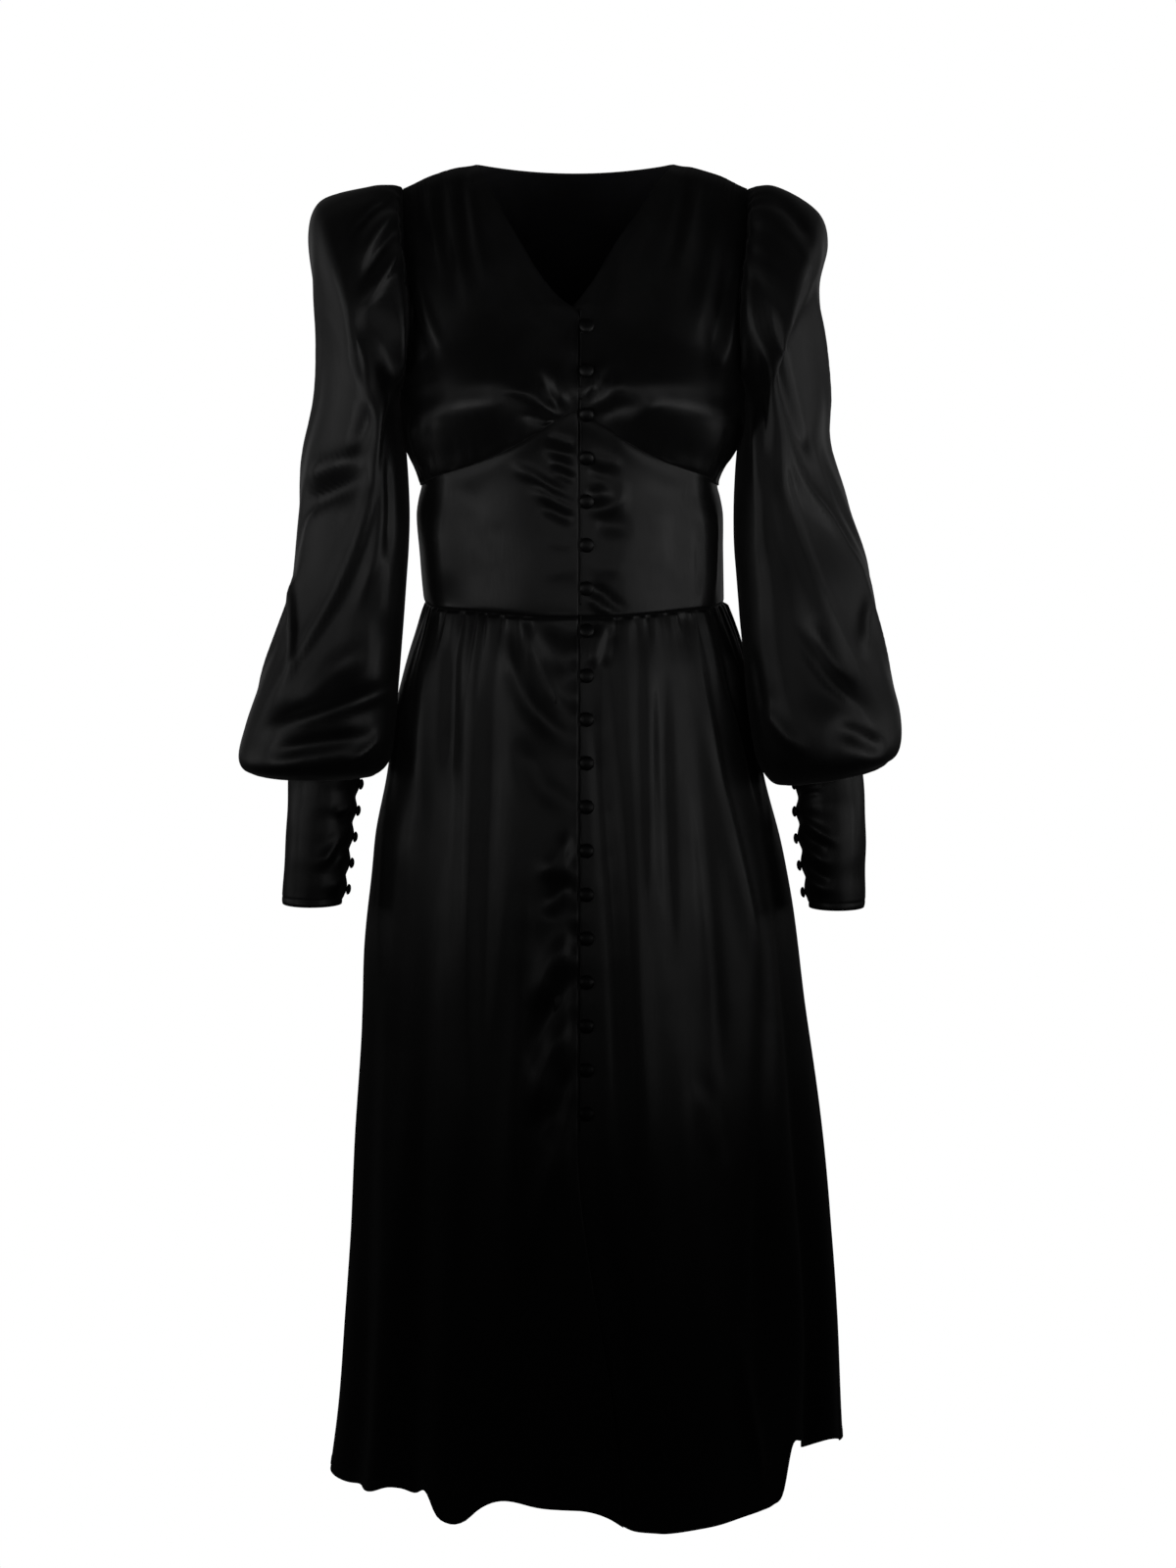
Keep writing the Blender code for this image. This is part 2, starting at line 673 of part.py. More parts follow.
def sleeve_circle(across):
    """Angle round a sleeve: 0 is the top, 90 the front, 180 under the arm, 270 the back."""
    head, under = sleeve_columns()
    columns = np.array([0, under / 2, under / 2 + head, under + head])
    angles = np.array([-180, -SLEEVE_PUFF_HALF, SLEEVE_PUFF_HALF, 180])
    return np.interp(across * (head + under), columns, angles)


def sleeve_ring(side, circle, row):
    """Points on a sleeve's plain section."""
    sign = -1 if side == "right" else 1
    table = SLEEVE[side]
    place = {name: read(table, name, row) for name in Section._fields[1:]}
    outer = np.stack([sign * place["outer_x"], place["outer_y"], place["outer_z"]], -1)
    inner = np.stack([sign * place["inner_x"], place["inner_y"], place["inner_z"]], -1)
    centre = (outer + inner) / 2
    arm = (outer - inner) / 2
    cosine = np.cos(np.radians(circle))
    sine = np.sin(np.radians(circle))
    deep = np.where(sine > 0, place["front"], place["back"])
    points = centre + arm * signed_power(cosine, 2 / SLEEVE_ROUND)[:, None]
    points[:, 1] -= deep * signed_power(sine, 2 / SLEEVE_ROUND)
    return points


def armhole_edge(side, circle):
    """Points on the bodice's armhole edge, on the straight runs between its rows."""
    sign = -1 if side == "right" else 1
    away = np.abs((circle + 180) % 360 - 180)
    run = 180 / ARMHOLE_ROWS
    start = np.minimum(np.floor(away / run), ARMHOLE_ROWS - 1) * run
    facing = np.sin(np.radians(circle)) > 0
    ends = []
    for corner in (start, start + run):
        turn, level = armhole(corner)
        front = form(sign * turn, level, -1)[0]
        back = form(sign * turn, level, 1)[0]
        ends.append(np.where(facing[:, None], front, back))
    return mix(ends[0], ends[1], ((away - start) / run)[:, None])


def sleeve_form(side, circle, row):
    """A sleeve's points before its gathers: the armhole's own curve, then the sections."""
    sign = -1 if side == "right" else 1
    points = sleeve_ring(side, circle, row)
    start = sleeve_ring(side, circle, np.zeros_like(row))
    edge = armhole_edge(side, circle) + (sign * ARMHOLE_GAP, 0, 0)
    return points + (edge - start) * (1 - ease(row, 0, ARMHOLE_FADE))[:, None]


def sleeve_outward(side, circle, row):
    sign = -1 if side == "right" else 1
    step = SLEEVE_STEP
    low = np.maximum(row - step, 0)
    high = np.minimum(row + step, SLEEVE_ROWS)
    down = sleeve_form(side, circle, high) - sleeve_form(side, circle, low)
    around = sleeve_form(side, circle + 9 * step, row) - sleeve_form(side, circle - 9 * step, row)
    return sign * unit(np.cross(around, down))


def sleeve(side):
    def shape(across, along):
        circle = sleeve_circle(across)
        row = along * SLEEVE_ROWS
        points = sleeve_form(side, circle, row)
        outward = sleeve_outward(side, circle, row)
        head = ease(SLEEVE_PUFF_HALF - np.abs(circle), 0, 12)
        fade = np.exp(-((row / HEAD_GATHER.run) ** 1.5)) * ease(row, 0, 0.8)
        wave = np.cos(math.pi * HEAD_GATHER.count * circle / SLEEVE_PUFF_HALF)
        lift = HEAD_GATHER.height * head * fade * wave
        return points + outward * lift[:, None], outward

    head, under = sleeve_columns()
    puff = (under // 2, under // 2 + head)
    bm = slab(head + under, SLEEVE_ROWS, SLEEVE_HEAD_ROWS, puff, tube=True)
    return sew("sleeve_" + side, "sleeve", bm, shape)


def cuff_surface(side, circle, level):
    """(points, outward) on a cuff: 0 is its outer side, 90 the front, 180 the inner side."""
    sign = -1 if side == "right" else 1
    outer = read(CUFF[side], "outer", level)
    inner = read(CUFF[side], "inner", level)
    radius = (outer - inner) / 2
    cosine = np.cos(np.radians(circle))
    sine = np.sin(np.radians(circle))
    outward = np.stack([sign * cosine, -sine, 0 * cosine], -1)
    centre = np.stack([sign * (outer + inner) / 2, 0 * radius + CUFF_Y, level], -1)
    near = np.exp(-(((circle % 360 - 180) / RUCHE_SPREAD) ** 2))
    top = CUFF[side][0].level
    bottom = CUFF[side][-1].level
    ruche = np.cos(2 * math.pi * CUFF_BUTTONS * (level - top) / (bottom - top))
    return centre + outward * (radius - RUCHE_HEIGHT * near * ruche)[..., None], outward


def cuff(side):
    top = CUFF[side][0].level - SEAM
    bottom = CUFF[side][-1].level

    def shape(across, along):
        return cuff_surface(side, 360 * across, mix(top, bottom, along))

    bm = slab(CUFF_COLUMNS, CUFF_ROWS, tube=True)
    return sew("cuff_" + side, "cuff", bm, shape)


# ---------------------------------------------------------------- buttons and loops
def cloth_under(panels):
    """The panels' surfaces as one tree, for seating what is sewn on them."""
    corners = []
    faces = []
    for panel in panels:
        start = len(corners)
        corners += [vert.co.copy() for vert in panel.data.vertices]
        faces += [[start + index for index in face.vertices] for face in panel.data.polygons]
    return BVHTree.FromPolygons(corners, faces)


def seat(tree, point, outward, foot, above):
    """(point, outward) over a place, where a foot of that radius lies just above the cloth."""
    outward = Vector(outward).normalized()
    aside = outward.orthogonal().normalized()
    upward = outward.cross(aside)
    start = Vector(point) + outward * SEAT_SEARCH
    hits = [
        tree.ray_cast((start + step * foot) * MM, -outward)
        for step in (Vector(), aside, -aside, upward, -upward)
    ]
    hits = [hit for hit in hits if hit[0] is not None]
    nearest = min(hit[3] for hit in hits) / MM
    square = sum((hit[1] for hit in hits), Vector()).normalized()
    return start - outward * (nearest - above), square


def on_left_front(tree, x, level, foot, above):
    """(point, outward) over the left front's cloth, at x and level."""
    levels = np.array([level])
    points, outward = form(turn_at(np.array([x]), levels), levels, -1)
    return seat(tree, points[0], outward[0], foot, above)


def button_mesh(name, radius, neck, height):
    """A covered button's outline, from its crown down to the foot of its neck."""
    outline = (
        (0.0, height),
        (0.66 * radius, 0.88 * height),
        (radius, 0.56 * height),
        (neck, 0.38 * height),
        (neck, 0.0),
        (0.0, 0.0),
    )
    mesh = bpy.data.meshes.new(name)
    bm = bmesh.new()
    verts = [bm.verts.new((x * MM, 0, z * MM)) for x, z in outline]
    for first, second in zip(verts, verts[1:]):
        bm.edges.new((first, second))
    bm.to_mesh(mesh)
    bm.free()
    return mesh


def place_button(name, mesh, point, outward):
    obj = add_object(name, mesh.copy(), "button")
    obj.location = Vector(point) * MM
    obj.rotation_euler = Vector(outward).to_track_quat("Z", "Y").to_euler()
    turned = obj.modifiers.new("turned", "SCREW")
    turned.steps = turned.render_steps = BUTTON_SIDES
    turned.use_merge_vertices = True
    turned.merge_threshold = 0.00001
    return obj


def cord(name, points):
    """A looping cord along a list of points."""
    curve = bpy.data.curves.new(name, "CURVE")
    curve.dimensions = "3D"
    curve.bevel_depth = CORD / 2 * MM
    curve.bevel_resolution = 1
    curve.use_fill_caps = True
    spline = curve.splines.new("POLY")
    spline.points.add(len(points) - 1)
    for spline_point, point in zip(spline.points, points):
        spline_point.co = (*(Vector(point) * MM), 1)
    return add_object(name, curve, "loops")


# One loop round a button's neck, as steps from the button's centre: to the wearer's left, and up.
LoopStep = namedtuple("LoopStep", "left up")
LOOP_STEPS = (
    LoopStep(-5.4, 14.0),
    LoopStep(-5.4, 4.4),
    LoopStep(0.0, 4.3),
    LoopStep(3.8, 2.3),
    LoopStep(3.8, -2.3),
    LoopStep(0.0, -4.3),
    LoopStep(-5.4, -4.4),
    LoopStep(-5.4, -14.0),
)


def front_buttons(panels):
    tree = cloth_under(panels)
    mesh = button_mesh("front_button", BUTTON_RADIUS, BUTTON_NECK, BUTTON_HEIGHT)
    levels = [FIRST_BUTTON - BUTTON_PITCH * number for number in range(BUTTON_COUNT)]
    for number, level in enumerate(levels, 1):
        point, outward = on_left_front(tree, BUTTON_OFFSET, level, BUTTON_NECK, SEAT_GAP)
        place_button(f"button_{number:02d}", mesh, point, outward)
    strips = (("loops_bodice", 0, 2), ("loops_midriff", 2, 7), ("loops_skirt", 7, BUTTON_COUNT))
    for name, first, last in strips:
        route = []
        for number, level in enumerate(levels[first:last]):
            steps = LOOP_STEPS[1:] if number == 0 else LOOP_STEPS
            steps = steps[:-1] if first + number == last - 1 else steps
            for step in steps:
                x = BUTTON_OFFSET + step.left
                height = level + step.up
                route.append(on_left_front(tree, x, height, CORD / 2, SEAT_GAP + CORD / 2)[0])
        cord(name, route)


def cuff_buttons(side, panel):
    tree = cloth_under([panel])
    mesh = button_mesh("cuff_button", CUFF_BUTTON_RADIUS, CUFF_BUTTON_NECK, CUFF_BUTTON_HEIGHT)
    top = CUFF[side][0].level
    bottom = CUFF[side][-1].level
    circle = np.array([CUFF_BUTTON_CIRCLE])
    for number in range(CUFF_BUTTONS):
        level = mix(top, bottom, (number + 0.5) / CUFF_BUTTONS)
        points, outward = cuff_surface(side, circle, np.array([level]))
        point, outward = seat(tree, points[0], outward[0], CUFF_BUTTON_NECK, SEAT_GAP)
        place_button(f"cuff_button_{side}_{number + 1}", mesh, point, outward)


# ---------------------------------------------------------------- the dress
for old in list(bpy.data.objects):
    bpy.data.objects.remove(old, do_unlink=True)
dress = bpy.data.collections.new("midi_dress")
bpy.context.scene.collection.children.link(dress)

for worn_side in ("right", "left"):
    front_panels = [bodice_front(worn_side), midriff(worn_side), skirt_front(worn_side)]
    sleeve(worn_side)
    cuff_buttons(worn_side, cuff(worn_side))
bodice_back()
skirt_back()
front_buttons(front_panels)
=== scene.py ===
# %% [markdown]
# # A black satin midi dress, worn and filled out
#
# The frame that this lesson loads is a button-down midi dress made of simple solids, at its
# real size. The lesson gives each cut piece its satin, with the gathers and folds that a worn
# dress has, and then its seams, hem, covered buttons and looping. The frame stays as it is:
# each new piece lies on the form of the solid that it stands for.

# %% Load the frame
import math
from collections import namedtuple

import bmesh
import bpy
import numpy as np
from mathutils import Matrix, Vector
from mathutils.bvhtree import BVHTree


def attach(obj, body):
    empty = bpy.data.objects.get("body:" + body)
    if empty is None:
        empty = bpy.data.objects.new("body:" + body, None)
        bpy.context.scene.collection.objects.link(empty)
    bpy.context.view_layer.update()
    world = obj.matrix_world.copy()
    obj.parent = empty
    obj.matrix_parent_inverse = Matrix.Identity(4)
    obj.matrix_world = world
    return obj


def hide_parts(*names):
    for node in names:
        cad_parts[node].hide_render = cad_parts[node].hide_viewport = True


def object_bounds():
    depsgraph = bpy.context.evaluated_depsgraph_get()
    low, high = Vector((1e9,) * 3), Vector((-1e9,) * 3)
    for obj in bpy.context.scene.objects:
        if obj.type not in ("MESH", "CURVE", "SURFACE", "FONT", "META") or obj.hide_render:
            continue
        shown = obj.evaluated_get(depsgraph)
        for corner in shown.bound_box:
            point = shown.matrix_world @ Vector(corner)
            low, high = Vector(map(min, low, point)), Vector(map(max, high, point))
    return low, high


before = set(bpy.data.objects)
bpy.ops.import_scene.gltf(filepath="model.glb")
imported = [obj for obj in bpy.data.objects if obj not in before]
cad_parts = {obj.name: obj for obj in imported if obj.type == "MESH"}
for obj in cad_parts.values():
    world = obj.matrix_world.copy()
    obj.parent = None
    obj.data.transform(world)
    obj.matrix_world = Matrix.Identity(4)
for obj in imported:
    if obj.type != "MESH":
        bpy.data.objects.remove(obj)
cad_low, cad_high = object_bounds()
scene = bpy.context.scene
MM = 0.001
cad_size = [round((high - low) / MM) for low, high in zip(cad_low, cad_high)]
print("frame:", len(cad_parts), "nodes,", cad_size, "mm")

# %% [markdown]
# ## The camera
#
# The dress is seen straight from the front through a long lens, from 4.3 m away. The camera is
# level with the shoulders and looks down by about 7 degrees. A parallel view would be simpler to
# place, but a real distance is used, because the front of the full skirt then comes a little
# nearer than the narrow waist, as it does to the eye.

# %% Camera
CAMERA_PLACE = (0.011, -4.3, 0.009)
CAMERA_PITCH = 82.8  # 90 would look level
PICTURE_TALL = 36.0
CAMERA_LENS = 114.7  # in mm, for a picture 36 mm tall

camera_data = bpy.data.cameras.new("camera")
camera_data.sensor_fit = "VERTICAL"
camera_data.sensor_height = PICTURE_TALL
camera_data.lens = CAMERA_LENS
camera = bpy.data.objects.new("camera", camera_data)
camera.location = CAMERA_PLACE
camera.rotation_euler = (math.radians(CAMERA_PITCH), 0, 0)
scene.collection.objects.link(camera)
scene.camera = camera
scene.view_settings.view_transform = "Standard"
print("camera at", CAMERA_PLACE)

# %% [markdown]
# ## The soft boxes
#
# A black dress shows its form by what it mirrors, so the lights are large, like pictures for the
# satin to reflect: two wide boxes beside the camera, a weaker one between them, two narrow strips
# farther round, one box at each side, and two behind. None stands above or below, so the chest,
# the underside of the bust and the lower skirt stay nearly black, while the midriff, the bust and
# the sleeves catch a soft grey shine. One strong lamp would only give hard spots.

# %% Soft boxes
SoftBox = namedtuple("SoftBox", "name azimuth distance low high wide tilt power")
SPREAD = 72  # a grid on each box keeps its light together
SOFT_BOXES = (
    SoftBox("front_box_right", -44, 1.35, -0.55, 0.12, 1.00, 14, 0.24),
    SoftBox("front_box_left", 44, 1.35, -0.68, 0.12, 1.00, 14, 0.28),
    SoftBox("middle_box", 0, 1.70, -0.50, 0.12, 0.90, 14, 0.10),
    SoftBox("strip_box_right", -68, 1.30, -0.56, 0.14, 0.26, 14, 0.10),
    SoftBox("strip_box_left", 70, 1.30, -0.62, 0.14, 0.26, 14, 0.13),
    SoftBox("side_box_right", -102, 1.45, -0.62, 0.62, 1.20, 4, 0.27),
    SoftBox("side_box_left", 102, 1.45, -0.62, 0.62, 1.20, 4, 0.24),
    SoftBox("back_box_right", -156, 1.60, -0.60, 0.30, 0.80, 8, 0.08),
    SoftBox("back_box_left", 156, 1.60, -0.60, 0.30, 0.80, 8, 0.08),
)
for box in SOFT_BOXES:
    light = bpy.data.lights.new(box.name, "AREA")
    light.shape = "RECTANGLE"
    light.size = box.wide
    light.size_y = box.high - box.low
    light.energy = box.power
    light.spread = math.radians(SPREAD)
    lamp = bpy.data.objects.new(box.name, light)
    turn = math.radians(box.azimuth)
    middle = (box.low + box.high) / 2
    lamp.location = (box.distance * math.sin(turn), -box.distance * math.cos(turn), middle)
    lamp.rotation_euler = (math.radians(90 + box.tilt), 0, turn)
    lamp.visible_camera = False
    scene.collection.objects.link(lamp)
print("soft boxes:", len(SOFT_BOXES))

# %% [markdown]
# ## The backdrop
#
# The picture's ground is white, but white walls would light black satin grey. So the world and
# the floor are white to the camera's own rays alone, which a Light Path node can tell. To all
# other rays the world is nearly dark and the floor is grey paper, far below the hem. A helper
# comes first: it adds a shader node and sets or links its inputs in one call.

# %% Node helper
def add_node(tree, kind, inputs=None, **settings):
    """A new node: its inputs are linked or set, and its other settings are given by name."""
    node = tree.nodes.new("ShaderNode" + kind)
    for name, value in settings.items():
        setattr(node, name, value)
    for name, value in (inputs or {}).items():
        if isinstance(value, bpy.types.NodeSocket):
            tree.links.new(value, node.inputs[name])
        else:
            node.inputs[name].default_value = value
    return node


# %% White backdrop and floor
AMBIENT = 0.010
WHITE = (1, 1, 1, 1)
FLOOR_LEVEL = -1.42
FLOOR_HALF = 9.0
PAPER_GREY = 0.5
PAPER_ROUGHNESS = 0.9

world = bpy.data.worlds.new("studio")
world.use_nodes = True
scene.world = world
seen = add_node(world.node_tree, "LightPath").outputs["Is Camera Ray"]
dim = (AMBIENT, AMBIENT, AMBIENT, 1)
shade = add_node(world.node_tree, "Mix", {"Factor": seen, 6: dim, 7: WHITE}, data_type="RGBA")
world.node_tree.links.new(shade.outputs[2], world.node_tree.nodes["Background"].inputs["Color"])

floor_mesh = bpy.data.meshes.new("floor")
bm = bmesh.new()
bmesh.ops.create_grid(bm, x_segments=1, y_segments=1, size=FLOOR_HALF)
bmesh.ops.translate(bm, verts=bm.verts[:], vec=(0, 0, FLOOR_LEVEL))
bm.to_mesh(floor_mesh)
bm.free()
floor = bpy.data.objects.new("floor", floor_mesh)
scene.collection.objects.link(floor)

paper = bpy.data.materials.new("floor_paper")
paper.use_nodes = True
tree = paper.node_tree
matt = tree.nodes["Principled BSDF"]
matt.inputs["Base Color"].default_value = (PAPER_GREY, PAPER_GREY, PAPER_GREY, 1)
matt.inputs["Roughness"].default_value = PAPER_ROUGHNESS
white = add_node(tree, "Emission", {"Color": WHITE, "Strength": 1.0})
seen = add_node(tree, "LightPath").outputs["Is Camera Ray"]
either = add_node(tree, "MixShader", {0: seen, 1: matt.outputs[0], 2: white.outputs[0]})
tree.links.new(either.outputs[0], tree.nodes["Material Output"].inputs["Surface"])
floor_mesh.materials.append(paper)
print("floor at", FLOOR_LEVEL)

# %% [markdown]
# ## The worn form
#
# The satin has to lie on the form of the solids, so the lesson repeats the sizes and the
# formulas that the frame was made with: tables of half widths and depths, read as smooth
# curves, and sections a little fuller than an ellipse. Lengths here are millimetres, and
# angles are degrees from the centre front (0), over the wearer's left side (+90), to the
# centre back (180).

# %% Driving sizes
SIGN = {"right": -1, "left": 1}  # the wearer's right side lies at -X
SEAM = -0.2  # neighbouring pieces overlap this little, so no light shows between them
ROUND = 2.25  # how full the sections are: 2 is an ellipse
NECK_HALF = 84.0  # from the centre to the neck end of a shoulder seam
SHOULDER_HALF = 147.0  # from the centre to its arm end
SHOULDER_DROP = 21.6  # how far it falls between the two
NECK_SOFTNESS = 40.0  # how softly the shoulder line levels out across the neck
ARMPIT = -190.0
ARMHOLE_CUT = 0.17  # how far the armhole cuts in, as a share of the half width
BUST_LEVEL = -185.0
BUST_APART = 76.0  # from the centre to the fullest place of each side
BUST_WIDE = 44.0
BUST_TALL = 36.0
BUST_FULL = 9.0
LEAN_DROP = 150.0  # this far under the shoulder line, the cloth stands upright
SHALLOW = 20.0  # the least depth that its outward direction is worked out with
BACK_NECK = -8.0
BACK_NECK_SHARE = 0.44  # share of the back's top edge that the neck takes
WAIST = -380.0
MEAN_HEM = -1130.0
SIDE_SEAM_TOP = 4 / 14  # share of a bodice piece's rows that its side seam takes
NECK_ROWS_POWER = 1.5  # above 1, the rows of the V edge lie closer at its top
FRONT_EDGE = 2.5  # x of the right front's edge
UNDERLAP = -18.0  # x of the left front's edge, under it
PLACKET_WIDTH = 34.0
PLACKET_LEVEL = -150.0  # above this level the placket narrows to the shoulder
PLACKET_NARROWING = 0.6
BODICE_PLACKET = 4 / 20  # share of the columns that the placket takes
SKIRT_PLACKET = 4 / 36
UNDERLAP_STEP = 3.0  # how much deeper the left front lies under the right one
UNDERLAP_HEM_STEP = 2.5  # and how much more at the hem
UNDERLAP_FLAT = 15.0
UNDERLAP_FADE = 37.0
HEM_SWING = 38.0  # how far the front edge swings over below the last button
SWING_START = 20.0
BUTTON_COUNT = 19
FIRST_BUTTON = -135.0
BUTTON_PITCH = 36.7
BUTTON_OFFSET = 10.0  # x of the row of buttons
print("from the shoulders to the mean hem:", -MEAN_HEM, "mm")

# %% Tables of the torso and the skirt
def rows_of(kind, *rows):
    """A table: each row of numbers gets the names of its columns."""
    return tuple(kind(*row) for row in rows)


Torso = namedtuple("Torso", "level right left")
TORSO = rows_of(
    Torso,
    (0, 178, 178),
    (-60, 176, 176),
    (-120, 168, 167),
    (-160, 159, 157),
    (-190, 151, 149),
    (-225, 141, 137),
    (-255, 134, 127),
    (-275, 128, 120),
    (-300, 130, 122),
    (-340, 129, 124),
    (-380, 127, 126),
)
Profile = namedtuple("Profile", "drop front back")
PROFILE = rows_of(
    Profile,
    (0, 0, 0),
    (5, 13, 14),
    (15, 27, 29),
    (35, 45, 50),
    (70, 65, 70),
    (105, 81, 84),
    (141, 95, 91),
    (175, 107, 94),
    (200, 115, 93),
    (224, 114, 90),
    (250, 107, 87),
    (290, 103, 83),
    (340, 101, 79),
    (400, 100, 78),
)
Skirt = namedtuple("Skirt", "level right left front back")
SKIRT = rows_of(
    Skirt,
    (-380, 127, 126, 100, 78),
    (-398, 134, 134, 106, 86),
    (-420, 142, 143, 110, 94),
    (-450, 150, 150, 113, 101),
    (-530, 160, 164, 121, 113),
    (-580, 172, 177, 128, 121),
    (-625, 177, 186, 134, 127),
    (-730, 184, 199, 147, 140),
    (-820, 189, 210, 160, 152),
    (-910, 194, 220, 171, 163),
    (-1000, 200, 227, 183, 173),
    (-1100, 206, 230, 196, 183),
    (-1145, 211, 232, 201, 187),
)
print("levels:", len(TORSO), "of the torso and", len(SKIRT), "of the skirt")

# %% Tables of the edges and the hanging folds
Hem = namedtuple("Hem", "angle level")
HEM = rows_of(
    Hem,
    (-180, -1134),
    (-140, -1130),
    (-90, -1140),
    (-60, -1134),
    (-32, -1131),
    (-15, -1118),
    (0, -1122),
    (16, -1138),
    (40, -1138),
    (62, -1130),
    (80, -1118),
    (105, -1122),
    (140, -1130),
    (180, -1134),
)
Fold = namedtuple("Fold", "top_angle hem_angle width height start")
FOLDS = rows_of(
    Fold,
    (-88, -90, 11, 5, -600),
    (-70, -68, 9, -8, -560),
    (-52, -50, 9, 9, -470),
    (-41, -40, 7, -10, -440),
    (-28, -29, 9, 15, -560),
    (-13, -14, 7, -9, -600),
    (16, 18, 10, 9, -500),
    (33, 36, 8, -9, -470),
    (48, 56, 10, 13, -430),
    (66, 74, 7, -26, -520),
    (96, 100, 12, 8, -560),
    (116, 118, 9, -12, -480),
    (134, 137, 10, 13, -520),
    (156, 157, 9, -11, -460),
    (177, 178, 10, 12, -540),
    (-163, -161, 9, -11, -480),
    (-144, -141, 10, 13, -500),
    (-122, -121, 9, -11, -460),
    (-104, -104, 8, 8, -560),
)
NeckEdge = namedtuple("NeckEdge", "level right left")
NECK_EDGE = rows_of(
    NeckEdge,
    (0, -84, 84),
    (-16, -74.5, 70),
    (-34, -64, 57),
    (-63, -44, 33.5),
    (-90, -26, 17),
    (-112, -9, 3),
    (-123.5, 2.5, -6),
    (-140, 2.5, -16),
    (-155, 2.5, -18),
    (-210, 2.5, -18),
)
BustSeam = namedtuple("BustSeam", "angle level")
BUST_SEAM = rows_of(
    BustSeam,
    (0, -206),
    (9, -221),
    (18, -234),
    (28, -245),
    (47, -258),
    (70, -270),
    (90, -275),
)
print("hanging folds:", len(FOLDS))

# %% Tables of the sleeves and the cuffs
Section = namedtuple("Section", "row outer_x outer_y outer_z inner_x inner_y inner_z front back")
SLEEVE = {
    "right": rows_of(
        Section,
        (0, 146.9, 0, -21.6, 151, 0, -190, 48, 50),
        (1, 158, 0, -16.5, 152.5, -2, -192, 53, 54),
        (2, 176, 0, -16, 153, -7, -197, 59, 58),
        (3, 203, 0, -22, 151, -15, -205, 65, 62),
        (4, 220, 0, -36, 148, -24, -216, 70, 65),
        (5, 227, 0, -62, 145.5, -30, -230, 72, 66),
        (6, 226.5, 2, -105, 143.5, -34, -250, 73, 66),
        (7, 222, 4, -150, 142.5, -36, -275, 72, 66),
        (8, 221.5, 4, -200, 142.5, -36, -300, 71, 66),
        (9, 226, 4, -252, 144, -36, -327, 70, 66),
        (10, 234, 2, -305, 146, -36, -355, 69, 66),
        (11, 245, -2, -355, 148, -37, -383, 68, 66),
        (12, 257, -8, -402, 151, -38, -413, 68, 66),
        (13, 269, -16, -443, 155.5, -40, -445, 70, 67),
        (14, 281, -24, -482, 159, -42, -478, 72, 68),
        (15, 289, -32, -512, 162, -42, -510, 68, 64),
        (16, 277, -36, -524, 171, -40, -523, 54, 51),
        (17, 245.5, -38, -517, 185, -38, -517, 30.2, 30.2),
    ),
    "left": rows_of(
        Section,
        (0, 146.9, 0, -21.6, 149, 0, -190, 48, 50),
        (1, 156, 0, -18, 150.5, -2, -192, 52, 53),
        (2, 171, 0, -18, 150.5, -7, -197, 57, 57),
        (3, 192, 0, -28, 147, -15, -206, 62, 61),
        (4, 210, 0, -46, 143, -24, -218, 66, 64),
        (5, 215, 0, -70, 139.5, -31, -233, 68, 65),
        (6, 210, 2, -104, 137, -36, -253, 70, 65),
        (7, 214, 4, -145, 136.5, -39, -277, 71, 65),
        (8, 220, 4, -195, 137, -40, -302, 71, 65),
        (9, 220, 4, -240, 138, -40, -328, 70, 65),
        (10, 233, 2, -290, 139.5, -40, -356, 69, 65),
        (11, 247, -2, -340, 141.5, -41, -385, 69, 65),
        (12, 256, -8, -388, 145, -42, -415, 69, 65),
        (13, 265, -16, -430, 150, -43, -448, 70, 66),
        (14, 277, -24, -468, 155.5, -43, -482, 72, 67),
        (15, 283, -32, -502, 161, -42, -515, 68, 64),
        (16, 272, -36, -516, 171, -40, -531, 54, 51),
        (17, 246, -38, -517, 191.5, -38, -517, 27.2, 27.2),
    ),
}
SleeveSwell = namedtuple("SleeveSwell", "row right left inner")
SLEEVE_SWELL = rows_of(
    SleeveSwell,
    (0, 0, 0, 0),
    (1.5, -2.0, -1.5, 1.0),
    (3, -2.5, -1.5, 2.0),
    (4, 1.5, 1.0, 1.0),
    (5, 2.0, 2.0, 0.0),
    (6, -0.5, 1.5, 0.0),
    (7, -0.5, 1.5, 0.5),
    (8, 1.0, -2.0, 1.0),
    (9, 6.5, -3.0, 1.5),
    (10, 4.5, 2.0, 1.5),
    (11, 1.0, 5.5, 1.5),
    (12, 1.0, 4.5, 2.0),
    (13, 1.9, 4.0, 4.0),
    (14, 3.0, 3.3, 5.5),
    (15, 3.0, 1.0, 5.5),
    (16, 0.5, 0.0, 2.0),
    (17, 0, 0, 0),
)
SLEEVE_ROWS = 17
SLEEVE_PUFF_HALF = 108.0
SLEEVE_ROUND = 2.2
ARMHOLE_GAP = -0.8  # below 0, so each sleeve starts a little under the bodice's edge
ARMHOLE_FADE = 4.0  # rows over which the armhole's curve gives way to the sections
Cuff = namedtuple("Cuff", "level outer inner")
CUFF = {
    "right": rows_of(
        Cuff,
        (-517.3, 246.5, 184),
        (-545, 247.5, 188),
        (-580, 249.5, 193),
        (-610, 251, 196.5),
        (-631, 252.4, 200),
    ),
    "left": rows_of(
        Cuff,
        (-517.3, 247, 190.5),
        (-550, 249.5, 190.5),
        (-580, 250.5, 193),
        (-610, 249.5, 197),
        (-634, 249, 200.5),
    ),
}
CUFF_Y = -38.0
CUFF_BUTTONS = 5
print("rings of a sleeve:", len(SLEEVE["right"]), "and of a cuff:", len(CUFF["right"]))

